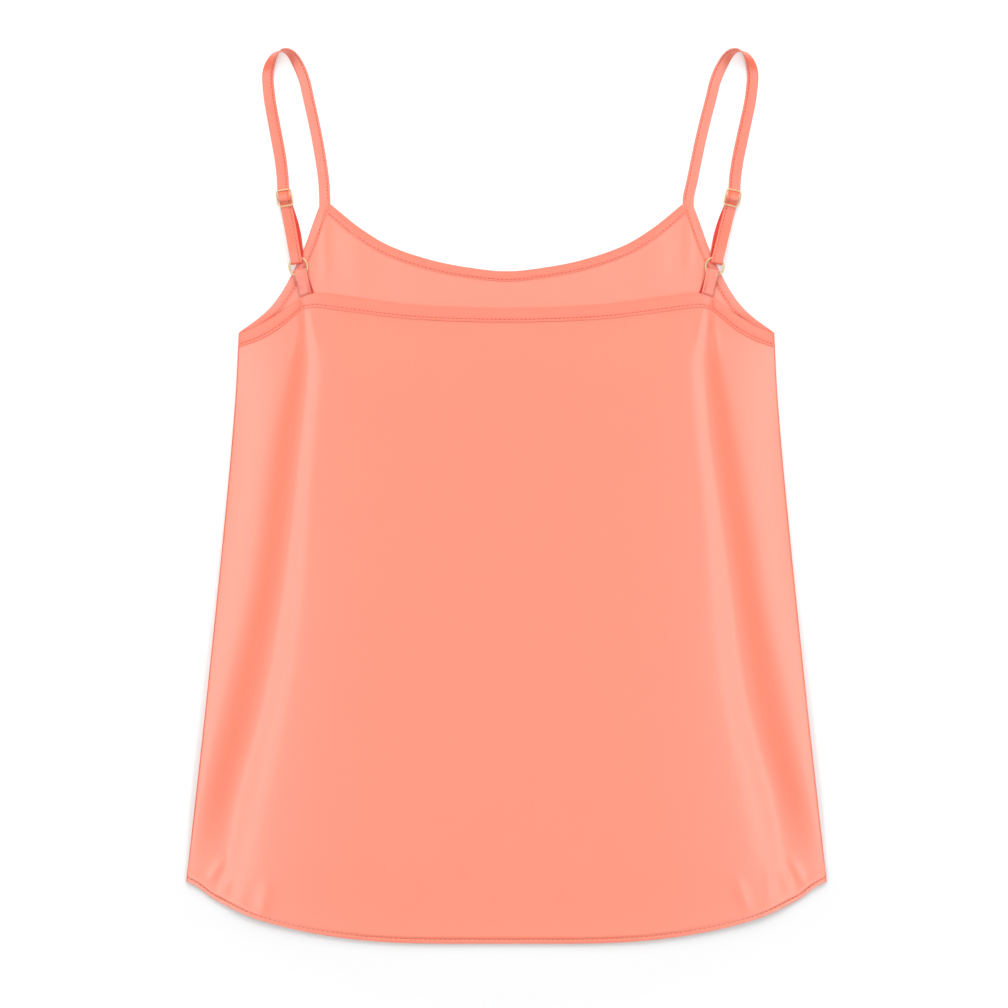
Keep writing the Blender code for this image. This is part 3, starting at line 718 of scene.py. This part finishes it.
def loop_route(lean_share, segments=170):
    """From the front's corner, over the top of the loop, down towards the slider."""
    centres, rolls = [], []
    for across, height, roll, lean, width in follow(STRAP_LOOP,
                                                    np.linspace(0.0, 1.0, segments + 1)):
        roll = math.radians(roll)
        lift = width / 2 * abs(math.sin(roll)) + HALF * abs(math.cos(roll)) + LOOP_CLEAR
        centres.append(Vector((across + lean_share * lean, height, lift)))
        rolls.append((roll, width / RIBBON_WIDTH))
    centres[0] = centres[0] - Vector((0.0, LOOP_START, 0.0))
    route = []
    for i, (roll, share) in enumerate(rolls):
        ahead = centres[min(i + 1, segments)] - centres[max(i - 1, 0)]
        ahead.z = 0.0
        sideways = UP.cross(ahead.normalized())
        route.append((centres[i], (sideways * math.cos(roll) - UP * math.sin(roll)) * share))
    return route


def station(origin, upwards, reach, lift, shift=0.0, tilt=0.0):
    """A ribbon's middle and the way of its width, `reach` from an origin along its way."""
    sideways = upwards.cross(UP)
    return (origin + upwards * reach - sideways * shift + UP * lift,
            sideways * math.cos(tilt) - UP * math.sin(tilt))


def turn_route(centre, forward, sideways, radius, start, end, segments=14):
    """Round a bar, from one angle to another in degrees, forward being 0 and up 90."""
    route = []
    for angle in np.radians(np.linspace(start, end, segments + 1)):
        offset = forward * math.cos(angle) + UP * math.sin(angle)
        route.append((centre + offset * radius, sideways))
    return route


def turn_reach(ring_radius, offset=STRAP_OFFSET):
    """Where a ribbon can turn inside the ring, its farther edge just clear of the wire."""
    edge = RIBBON_WIDTH / 2 + offset
    inside = math.sqrt((ring_radius - RING_WIRE) ** 2 - edge ** 2)
    return inside + TURN_RADIUS - HALF - RING_CLEAR


def strap_route(label):
    """The whole strap: loop, slider, down to the ring, and back beneath to the slider."""
    slider = centre_of("slider_" + label)
    ring, ring_radius = ring_of(label)
    bar_spacing = SLIDER_LENGTH / 2
    ring_lift, slider_lift = ring.z, slider.z
    ring = Vector((ring.x + STRAP_OFFSET, ring.y, 0.0))
    slider.z = 0.0
    upwards = (slider - ring).normalized()
    sideways = upwards.cross(UP)
    slider_reach = (slider - ring).length

    def at(reach, lift, shift=0.0, tilt=0.0):
        return station(ring, upwards, reach, lift, shift, math.radians(tilt))

    def run(table, segments=36):
        return [at(*row) for row in follow(table, np.linspace(0.0, 1.0, segments + 1))]

    route = loop_route(LEANS[label])
    weave_low, weave_high = slider_lift - BAR_RADIUS, slider_lift + BAR_RADIUS + OVER_BAR
    for from_bar in np.linspace(bar_spacing, -bar_spacing, 29):
        swing = float(smooth_step((bar_spacing - abs(from_bar)) / WEAVE_RUN))
        route.append(at(slider_reach + from_bar, weave_low + (weave_high - weave_low) * swing))
    route += run(STRAP_OUTER)[1:]
    bend = at(turn_reach(ring_radius), ring_lift)[0]
    route += turn_route(bend, -upwards, sideways, TURN_RADIUS, 90.0, -90.0)
    route += run(STRAP_INNER)
    end_shift = STRAP_INNER[-1][2]
    for share in np.linspace(0.0, 1.0, 11)[1:-1]:
        lift = HALF + (weave_low - HALF) * float(smooth_step(share))
        route.append(at(slider_reach - bar_spacing * (1 - share), lift, end_shift))
    bar = at(slider_reach, slider_lift, end_shift)[0]
    route += turn_route(bar, upwards, sideways, BAR_RADIUS, -90.0, 75.0)
    return route


print("the left strap's route has", len(strap_route("left")), "stations")

# %% Route of a tab
TAB_FOOT = Vector((160.4, 518.7, 0.0))
TAB_SHARE = 1.05  # its width, in widths of the strap
TAB_SHIFT = 2.0  # its lower layer comes out this far beside the upper one
TAB_OFFSET = 0.8  # towards the middle, inside the ring
TAB_TUCK = 2.6  # the tab's foot goes this far under the neck binding
TAB_FOOT_LIFT = 2.6  # its two layers lie this high at the foot
TAB_FOOT_UNDER = 1.4
TAB_DIVE = 1.3  # and dive by this much under the binding
DIVE_SPAN = (-1.5, 1.5)
TAB_LOWEST = 1.25  # but no lower than this, over the front's cloth
TAB_TILT = math.radians(11)  # its outer edge lies lower halfway along
EVEN_CLIMB = 0.75  # share of its climb that is a plain slope


def tab_route(label, segments=40):
    """From the back's corner over the ring's wire and back beneath."""
    ring, ring_radius = ring_of(label)
    ring_lift = ring.z
    ring = Vector((ring.x - TAB_OFFSET, ring.y, 0.0))
    upwards = (ring - TAB_FOOT).normalized()
    sideways = upwards.cross(UP)
    bend_reach = (ring - TAB_FOOT).length - turn_reach(ring_radius, TAB_OFFSET)
    over_ring, under_ring = ring_lift + TURN_RADIUS, ring_lift - TURN_RADIUS
    straight = bend_reach - ring_radius / 2

    def at(reach, lift, shift=0.0, share=0.0):
        lift = max(lift - TAB_DIVE * (1 - float(ease(reach, DIVE_SPAN))), TAB_LOWEST)
        tilt = TAB_TILT * math.sin(math.pi * share)
        place, width = station(TAB_FOOT, upwards, reach, lift, shift, tilt)
        return place, width * TAB_SHARE

    route = []
    for share in np.linspace(0.0, 1.0, segments + 1):
        climb = EVEN_CLIMB * share + (1 - EVEN_CLIMB) * float(smooth_step(share))
        lift = TAB_FOOT_LIFT + (over_ring - TAB_FOOT_LIFT) * climb
        route.append(at(straight * share - TAB_TUCK * (1 - share), lift, 0.0, share))
    route += turn_route(at(bend_reach, ring_lift)[0], upwards, sideways * TAB_SHARE,
                        TURN_RADIUS, 90.0, -90.0)
    for share in np.linspace(0.0, 1.0, segments + 1):
        lift = under_ring + (TAB_FOOT_UNDER - under_ring) * float(smooth_step(share))
        route.append(at(straight * (1 - share) - TAB_TUCK * share, lift, TAB_SHIFT * share,
                        share))
    return route


print("the left tab's route has", len(tab_route("left")), "stations")

# %% [markdown]
# ## The ribbon's cut
# Folded ribbon isn't a sharp block: its edges are round, and the line of stitches, 2 mm in
# from the neck's side, pulls a groove into both faces. The same cut is swept along the
# straps and the tabs.

# %% Make straps and tabs
SEAM_IN = -2.7  # stitch line on a ribbon, from its middle
RIBBON_TOP = ((4.66, 0.18), (4.5, 0.32), (4.15, 0.4), (2.8, 0.43), (1, 0.44), (-0.6, 0.435),
              (-1.8, 0.43), (-2.25, 0.36), (-2.5, 0.2), (SEAM_IN, 0.12), (-2.9, 0.2),
              (-3.15, 0.36), (-3.55, 0.43), (-4.15, 0.4), (-4.5, 0.32), (-4.66, 0.18))
RIBBON_CUT = ((4.7, 0), *RIBBON_TOP, (-4.7, 0), *((a, -b) for a, b in RIBBON_TOP[::-1]))


def ribbon_frames(route):
    """Middles, widths and normals of a route, and the distance along it."""
    centres = np.array([list(centre) for centre, _ in route])
    widths = np.array([list(width) for _, width in route])
    ahead = np.gradient(centres, axis=0)
    ahead /= np.linalg.norm(ahead, axis=1)[:, None]
    normals = np.cross(ahead, widths)
    normals /= np.linalg.norm(normals, axis=1)[:, None]
    return centres, widths, normals, travelled(centres)


def make_ribbon(name, route, side):
    """Sweeps the cut along a route, on the left or the right."""
    centres, widths, normals, along = ribbon_frames(route)
    rings = []
    for a, b in RIBBON_CUT:
        point = centres + widths * a + normals * b
        rings.append(world(side * point[:, 0], point[:, 1], point[:, 2]))
    return sweep(name, np.stack(rings, axis=1), along, travelled(RIBBON_CUT))


ROUTES = {"strap": strap_route, "tab": tab_route}
for label, side in SIDES.items():
    for kind, route in ROUTES.items():
        soft[f"{kind}_{label}"] = make_ribbon(f"{kind}_ribbon_{label}", route(label), side)

# %% [markdown]
# ## Stitches
# A line of machine stitches is thread that shows for about 2 mm, dips through the cloth and
# shows again. Each stitch here is a small spindle, half sunk in its groove. Many spindles
# share one mesh, so a seam is one piece. Their lengths and directions vary by a little.

# %% Thread helper
THREAD = 0.20  # half the thickness of the thread
SPINDLE = ((0.0, 0.25), (0.14, 0.8), (0.5, 1.0), (0.86, 0.8), (1.0, 0.25))  # share, girth
SIDES_ROUND = 6
ARCH, SUNK = 0.11, 0.09  # its middle stands up, its ends go into the cloth
UNEVEN = 0.05  # place and direction differ by this much
SHOWING = (0.27, 0.32)  # half of what shows, as a share of the pitch


def stitches(name, points, normals, pitch, seed):
    """Spindles along a line of points in garment millimetres."""
    rng = np.random.default_rng(seed)
    along = travelled(points)
    count = max(int(along[-1] / pitch), 1)
    corners, faces = [], []
    for i in range(count):
        start = (i + 0.5 + rng.uniform(-UNEVEN, UNEVEN)) * along[-1] / count
        half = pitch * rng.uniform(*SHOWING)
        at = np.array([start - half, start + half])
        ends = np.stack([np.interp(at, along, points[:, k]) for k in range(3)], -1)
        normal = np.array([np.interp(start, along, normals[:, k]) for k in range(3)])
        normal /= np.linalg.norm(normal)
        ahead = ends[1] - ends[0]
        ahead /= np.linalg.norm(ahead)
        sideways = np.cross(normal, ahead)
        ends = ends + sideways * rng.uniform(-UNEVEN, UNEVEN, 2)[:, None]
        first = len(corners)
        for share, girth in SPINDLE:
            middle = ends[0] + (ends[1] - ends[0]) * share
            middle = middle + normal * (ARCH * math.sin(math.pi * share) - SUNK)
            for k in range(SIDES_ROUND):
                turn = 2 * math.pi * k / SIDES_ROUND
                corners.append(middle + THREAD * girth
                               * (sideways * math.cos(turn) + normal * math.sin(turn)))
        for ring in range(len(SPINDLE) - 1):
            for k in range(SIDES_ROUND):
                a = first + ring * SIDES_ROUND + k
                b = first + ring * SIDES_ROUND + (k + 1) % SIDES_ROUND
                faces.append((a, b, b + SIDES_ROUND, a + SIDES_ROUND))
        last = first + SIDES_ROUND * (len(SPINDLE) - 1)
        faces.append(tuple(first + k for k in reversed(range(SIDES_ROUND))))
        faces.append(tuple(last + k for k in range(SIDES_ROUND)))
    corners = np.array(corners)
    uv = np.zeros((sum(len(face) for face in faces), 2))
    made = finish_mesh(name, world(corners[:, 0], corners[:, 1], corners[:, 2]), faces, uv,
                       sharp=80.0)
    print(name, "has", count, "stitches")
    return made


# %% Lines of stitches on bindings, hems and ribbons
HEM_PITCH, STRAP_PITCH, TAB_PITCH = 3.9, 3.0, 2.8
STITCHED = {"strap": (3, 262), "tab": (3, 44)}  # stations from where to where
HEM_SEAM_END = 253.5  # the hem's stitches end this far out
IN_GROOVE = 0.06  # above the groove's bottom
ON_RIBBON = 0.22  # from the middle of a ribbon's thickness


def lying_line(x, y, lift, way):
    """A line of stitches along a panel, facing up or down."""
    return np.stack([x, y, lift], -1), np.tile([0.0, 0.0, way], (len(x), 1))


def binding_seam(edge):
    """Line of stitches in the groove of a binding's upper leaf."""
    count = 400 if len(edge.sides) == 2 else 300
    share, side = mirrored(edge.sides, count, 0.02, 0.98)
    width = binding_width(edge.stations, share)
    place, _ = across_binding(edge.stations, share, edge.stitch_share * width)
    x, y = side * place[:, 0], place[:, 1]
    stitch = edge.stitch_share * width.mean()
    return lying_line(x, y, edge.form(x, y) + leaf_top(stitch, width.mean(), stitch)
                      + IN_GROOVE, 1.0)


def hem_seam(form, way):
    """Line of stitches near a hem, on its upper or lower face."""
    x = np.linspace(-HEM_SEAM_END, HEM_SEAM_END, 700)
    y = hem_height(x) + HEM_STITCH
    slope = HEM_SLOPE * (1 - HEM_STITCH / HEM_TURN)
    lift = (HEM_THICK - STITCH_DIP - slope) if way > 0 else 2 * STITCH_DIP
    return lying_line(x, y, form(x, y) + lift, way)


def ribbon_seam(kind, label, face):
    """Line of stitches along a ribbon's seam, on one of its faces."""
    centres, widths, normals, _ = ribbon_frames(ROUTES[kind](label))
    line = centres + widths * SEAM_IN + normals * ON_RIBBON * face
    stitched, mirror = slice(*STITCHED[kind]), np.array([SIDES[label], 1.0, 1.0])
    return line[stitched] * mirror, normals[stitched] * face * mirror


hem_length = travelled(hem_seam(back_form, 1.0)[0])[-1]
print("the hem's line of stitches is", round(hem_length), "mm long")

# %% Sew them
threads = {}


def sew(name, seam, pitch, seed):
    threads[name] = stitches(name, *seam, pitch, seed)


def sew_bindings(word):
    """Stitches on every binding that has this word in its name."""
    for name, edge in EDGES.items():
        if word in name:
            sew(name.format("stitches"), binding_seam(edge), edge.pitch, edge.thread_seed)


sew_bindings("neck")
sew("back_hem_stitches", hem_seam(back_form, 1.0), HEM_PITCH, 13)
sew("front_hem_stitches", hem_seam(front_form, -1.0), HEM_PITCH, 14)
for i, label in enumerate(SIDES):
    sew_bindings(label)
    for word, face in (("outer", 1), ("inner", -1)):
        sew(f"strap_stitches_{word}_{label}", ribbon_seam("strap", label, face),
            STRAP_PITCH, 40 + i + face)
    sew("tab_stitches_" + label, ribbon_seam("tab", label, 1), TAB_PITCH, 50 + i)

# %% [markdown]
# ## Satin
# Satin's face is nearly all long warp floats, so it is smooth, holds a soft wide gleam, and
# shows threads only close up, as fine streaks along the warp. The wrong side is duller and
# paler. A Principled shader with a middling roughness gives the gleam, and a little sheen
# softens it towards the folds. The streaks are noise stretched along the cloth's own
# coordinates, used as a very low bump and as a slight change of roughness and colour.

# %% Woven finish
WHITE = (1.0, 1.0, 1.0, 1.0)
CLOUDS = (0.35, 0.22)  # slow changes of colour, per centimetre
MOTTLING = 0.02
THREAD_SHADE = (0.82, 0.80, 0.80, 1.0)
THREAD_SHARE = 0.10  # how much of that shade the streaks take
HAZE = 0.05  # roughness differs by this much either way
SHEEN_TINT = (1.0, 0.80, 0.74, 1.0)


def fill(node, inputs):
    """Sets inputs of a node, each to a value or to another node's output."""
    for key, value in inputs.items():
        if isinstance(value, bpy.types.NodeSocket):
            node.id_data.links.new(value, node.inputs[key])
        else:
            node.inputs[key].default_value = value


def node_maker(tree):
    """A short way to add a node, set it, fill its inputs and have one of its outputs."""
    def add(kind, output, inputs, **settings):
        made = tree.nodes.new("ShaderNode" + kind)
        for key, value in settings.items():
            setattr(made, key, value)
        fill(made, inputs)
        return made.outputs[output]
    return add


def new_finish(name):
    """A fresh material, its shader, and its node maker."""
    made = bpy.data.materials.new(name)
    made.use_nodes = True
    return made, made.node_tree.nodes["Principled BSDF"], node_maker(made.node_tree)


def cloth_finish(name, colour, roughness, sheen, gloss, streaks, depth):
    """A woven finish: streaks is (across, along) in threads per centimetre."""
    made, shader, add = new_finish(name)
    place = add("UVMap", "UV", {}, uv_map="cloth")

    def noise(scale, detail):
        squeezed = add("Mapping", "Vector", {"Vector": place, "Scale": (*scale, 1.0)})
        return add("TexNoise", "Fac", {"Vector": squeezed, "Scale": 1.0, "Detail": detail})

    def blend(factor, first, second, kind="MIX"):
        return add("Mix", "Result", {"Factor": factor, "A": first, "B": second},
                   data_type="RGBA", blend_type=kind)

    warp, weft = noise(streaks, 2.0), noise(streaks[::-1], 2.0)
    darker = (*(c * (1 - MOTTLING) for c in colour), 1.0)
    lighter = (*(min(c * (1 + MOTTLING), 1.0) for c in colour), 1.0)
    tone = blend(noise(CLOUDS, 3.0), darker, lighter)
    shade = blend(warp, THREAD_SHADE, WHITE)
    relief = add("Math", "Value", {0: weft, 1: 0.5, 2: warp}, operation="MULTIPLY_ADD")
    fill(shader, {
        "Base Color": blend(THREAD_SHARE, tone, shade, "MULTIPLY"),
        "Roughness": add("MapRange", "Result", {
            "Value": warp, "To Min": roughness - HAZE, "To Max": roughness + HAZE}),
        "Normal": add("Bump", "Normal", {
            "Height": relief, "Strength": 1.0, "Distance": depth * MM}),
        "Sheen Weight": sheen, "Sheen Roughness": 0.45, "Sheen Tint": SHEEN_TINT,
        "Specular IOR Level": gloss, "IOR": 1.65})
    return made

# %% One finish for each way the cloth is used; three are made darker as painted shade
satin = cloth_finish("coral satin", (0.985, 0.229, 0.1325), 0.30, 0.04, 1.0, (26.0, 1.6),
                     0.004)
wrong_side = cloth_finish("coral satin, wrong side", (0.985, 0.272, 0.173), 0.40, 0.12, 1.0,
                          (22.0, 3.0), 0.008)
bias_cloth = cloth_finish("coral satin, cut on the bias", (0.985, 0.204, 0.119), 0.36, 0.05,
                          1.0, (18.0, 9.0), 0.008)
# painted shade: the back's armhole bindings are the same bias satin, made darker because they
# tilt away from the lights
armhole_painted_shade = cloth_finish("coral satin, bias at the armholes", (0.985, 0.194, 0.110), 0.38,
                             0.04, 0.8, (18.0, 9.0), 0.008)
ribbon_cloth = cloth_finish("coral satin, folded to ribbon", (0.985, 0.196, 0.115), 0.36, 0.05,
                            0.9, (20.0, 2.0), 0.008)
ribbon_under = cloth_finish("coral satin, ribbon's other face", (0.985, 0.238, 0.156), 0.40,
                            0.10, 0.9, (20.0, 2.0), 0.008)
# painted shade: where the ribbon lies under itself it takes a deeper red, standing for the
# shade of the layer above and the red light bounced between the two
ribbon_painted_shade = cloth_finish("coral satin, in the ribbon's fold", (0.72, 0.050, 0.031), 0.5, 0.0,
                           0.3, (20.0, 2.0), 0.008)
# the thread is coral, but it is made much darker here: painted shade of the dimples and needle
# holes where the stitches sink in
thread_with_painted_shade = cloth_finish("coral thread", (0.50, 0.052, 0.031), 0.55, 0.0, 0.2,
                             (30.0, 30.0), 0.01)
print("cloth finishes:", [m.name for m in bpy.data.materials if m.name.startswith("coral ")])

# %% [markdown]
# ## Gold wire
# Rings and sliders are plated wire. Plating is smooth with a little haze and the finest
# scratches, so the shader is metallic, with low roughness that noise varies slightly.
# Their CAD shapes are right, so the CAD pieces stay and only get this finish.

# %% Gold finish
gold, shader, add = new_finish("pale gold plating")
haze = add("TexNoise", "Fac", {
    "Vector": add("TexCoord", "Object", {}), "Scale": 900.0, "Detail": 4.0})
fill(shader, {
    "Base Color": add("Mix", "Result", {
        "Factor": haze, "A": (1.0, 0.74, 0.40, 1.0), "B": (1.0, 0.82, 0.50, 1.0)},
        data_type="RGBA"),
    "Roughness": add("MapRange", "Result", {"Value": haze, "To Min": 0.32, "To Max": 0.44}),
    "Metallic": 0.72})
for node in ("ring_left", "ring_right", "slider_left", "slider_right"):
    piece = frame["nodes"][node]
    for material_slot in piece.material_slots:
        material_slot.material = gold
    print(node, "is finished in", gold.name)

# %% [markdown]
# ## Put the finishes on
# The back shows its satin face. The front lies face down, so its wrong side shows above the
# back's neckline and its satin face is underneath: each face of a shell takes its own finish.

# %% Finishes on the cloth
def two_faced(piece, upper, lower, upper_faces):
    """The first faces of a shell are its upper side, the next as many its lower side."""
    piece.data.materials.append(upper)
    piece.data.materials.append(lower)
    index = np.zeros(len(piece.data.polygons), np.int32)
    index[upper_faces:2 * upper_faces] = 1
    piece.data.polygons.foreach_set("material_index", index)


def finish_ribbon(piece, first, last):
    """Its two faces, and a deeper red painted as shade between the two stations where it lies
    folded.
    """
    for finish in (ribbon_cloth, ribbon_painted_shade, ribbon_under):
        piece.data.materials.append(finish)
    around = len(RIBBON_CUT)
    index = np.where(np.arange(len(piece.data.polygons)) % around < around // 2, 0, 2)
    index[first * around:last * around] = 1
    piece.data.polygons.foreach_set("material_index", index.astype(np.int32))


# where a ribbon lies under itself, it is painted a deeper red as shade
PAINTED_SHADE_STATIONS = {"strap": (246, 298), "tab": (50, 96)}  # where a ribbon lies under itself
two_faced(back_panel, satin, wrong_side, back_faces)
two_faced(front_panel, wrong_side, satin, front_faces)
# the back's armhole bindings take the darker copy of the bias satin, which is painted shade
for name, edge in EDGES.items():
    finish = armhole_painted_shade if name.startswith("back_armhole") else bias_cloth
    soft[edge.node].data.materials.append(finish)
for label in SIDES:
    for kind in ROUTES:
        finish_ribbon(soft[f"{kind}_{label}"], *PAINTED_SHADE_STATIONS[kind])
for piece in threads.values():
    piece.data.materials.append(thread_with_painted_shade)
print("finished", len(soft) + len(threads), "cloth and thread pieces")

# %% [markdown]
# ## Tie every piece to the model
# Each piece rides on the one body of the model and takes the place of its CAD solid. For the
# two panels, the size they were cut to is worked out and printed.

# %% Ride and replace
for node, piece in soft.items():
    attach(piece, "root")
    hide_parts(node)
    kind = "coral_ribbon" if "ribbon" in piece.name else "coral_binding"
for piece in threads.values():
    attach(piece, "root")
    ("coral_ribbon" if "strap" in piece.name or "tab" in piece.name
            else "coral_binding")


def flat_size(piece):
    """Width, length and area of a panel as it was cut, in metres."""
    wide, long, _ = np.ptp(np.array([v.co for v in piece.data.vertices]), axis=0)
    return wide, long, sum(p.area for p in piece.data.polygons) / 2


def sewn_to(*words):
    """Bindings, ribbons and threads whose names start with one of the words."""
    return [piece for piece in (*soft.values(), *threads.values())
            if piece.name.startswith(words) and "panel" not in piece.name]


for piece, sewn, under in ((back_panel, sewn_to("back", "tab"), [front_panel]),
                           (front_panel, sewn_to("front", "strap"), [])):
    wide, long, area = flat_size(piece)
    round(float(min(area, wide * long)), 4)
    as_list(under)
    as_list(sewn)
    print(piece.name, "is cut", round(wide, 3), "x", round(long, 3), "m, area", round(area, 3))

# %% [markdown]
# ## Floor, lights and camera
# The top lies on a plain white surface and is seen from straight above. Soft boxes stand low at
# both sides, so the satin gleams where it leans towards the nearer one and goes quieter where
# it leans away. A narrow box high above fills in. A tall box beyond the straps and a weaker one
# before the hem light the slopes that face them; neither is reflected in anything. The floor is
# white paper. It adds a little plain white glow of its own, for the camera and for reflections:
# little near the hem, so the paper still takes shadow there; more beside the neck, which is
# painted light that washes out the straps' shadows; and most far away, so it reads as white.

# %% Floor
def make_floor(drop=0.02 * MM):
    """White paper just below the cloth."""
    bpy.ops.mesh.primitive_plane_add(size=12.0, location=(0.0, 0.0, -drop))
    floor = bpy.context.active_object
    floor.name = "floor"
    paper, shader, add = new_finish("white paper")

    def ramp(value, start, end, low, high):
        return add("MapRange", "Result", {"Value": value, "From Min": start, "From Max": end,
                                          "To Min": low, "To Max": high})

    def maths(operation, first, second):
        return add("Math", "Value", {0: first, 1: second}, operation=operation)

    place = add("TexCoord", "Object", {})
    height = add("SeparateXYZ", "Y", {"Vector": place})
    away = add("VectorMath", "Value", {0: place}, operation="LENGTH")
    # painted light: the paper's glow grows from the hem up to the neck, washing out the straps'
    # shadows there
    beside = ramp(height, -0.34, 0.10, 0.085, 0.28)  # from the hem up to the neck, metres
    beyond = ramp(away, 0.40, 1.6, 0.0, 0.9)  # from the garment outwards
    seen = maths("MAXIMUM", add("LightPath", "Is Camera Ray", {}),
                 add("LightPath", "Is Glossy Ray", {}))
    fill(shader, {
        "Base Color": (0.80, 0.80, 0.80, 1.0), "Roughness": 0.9, "Specular IOR Level": 0.0,
        "Emission Color": WHITE,
        "Emission Strength": maths("MULTIPLY", maths("ADD", beside, beyond), seen)})
    floor.data.materials.append(paper)
    floor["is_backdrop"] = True
    return floor


floor = make_floor()
print("floor", tuple(round(d, 1) for d in floor.dimensions), "m")

# %% Lights
BOXES = {  # place, the point on the floor it faces, size, brightness, is it reflected
    "box on the left": ((-0.45, 0.0, 0.80), (-0.05, 0.0), (0.25, 3.2), 2.5, True),
    "box on the right": ((0.45, 0.0, 0.80), (0.05, 0.0), (0.25, 3.2), 2.5, True),
    "box overhead": ((0.0, 0.0, 3.0), (0.0, 0.0), (1.1, 3.6), 0.95, True),
    "tall box beyond the straps": ((0.0, 12.0, 6.0), (0.0, 0.0), (16.0, 8.0), 4.8, False),
    "fill box before the hem": ((0.0, -12.0, 6.0), (0.0, 0.0), (16.0, 8.0), 0.6, False),
}
for name, (place, aim, size, radiance, reflected) in BOXES.items():
    lamp = bpy.data.lights.new(name, "AREA")
    lamp.shape = "RECTANGLE"
    lamp.size, lamp.size_y = size
    lamp.energy = radiance * math.pi * size[0] * size[1]
    box = bpy.data.objects.new(name, lamp)
    box.location = place
    box.rotation_euler.x = -math.atan2(place[1] - aim[1], place[2])
    box.rotation_euler.y = math.atan2(place[0] - aim[0], place[2])
    box.visible_camera = False
    box.visible_glossy = reflected
    bpy.context.scene.collection.objects.link(box)

world_light = bpy.data.worlds.new("studio")
world_light.use_nodes = True
add = node_maker(world_light.node_tree)
level = add("MapRange", "Result", {
    "Value": add("LightPath", "Is Camera Ray", {}), "To Min": 0.075, "To Max": 1.0})
fill(world_light.node_tree.nodes["Background"], {"Color": WHITE, "Strength": level})
bpy.context.scene.world = world_light
bpy.context.scene.view_settings.view_transform = "Standard"
print("lights:", list(BOXES))

# %% Camera
FIELD = 0.8064  # metres across that the camera sees
ASIDE, BELOW = 0.002, 0.006  # it looks this far left of and below the middle
low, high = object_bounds()
camera_data = bpy.data.cameras.new("camera")
camera_data.lens = 100.0
camera = bpy.data.objects.new("camera", camera_data)
rise = FIELD * camera_data.lens / camera_data.sensor_width
camera.location = ((low.x + high.x) / 2 - ASIDE, (low.y + high.y) / 2 - BELOW, rise)
bpy.context.scene.collection.objects.link(camera)
bpy.context.scene.camera = camera
print("camera is", round(rise, 2), "m above the surface")

# %% [markdown]
# ## The size of the CAD model
# The box of the CAD model is printed.

# %% Size of the CAD model
print("CAD", [round(v, 4) for corner in CAD_BOX for v in corner])
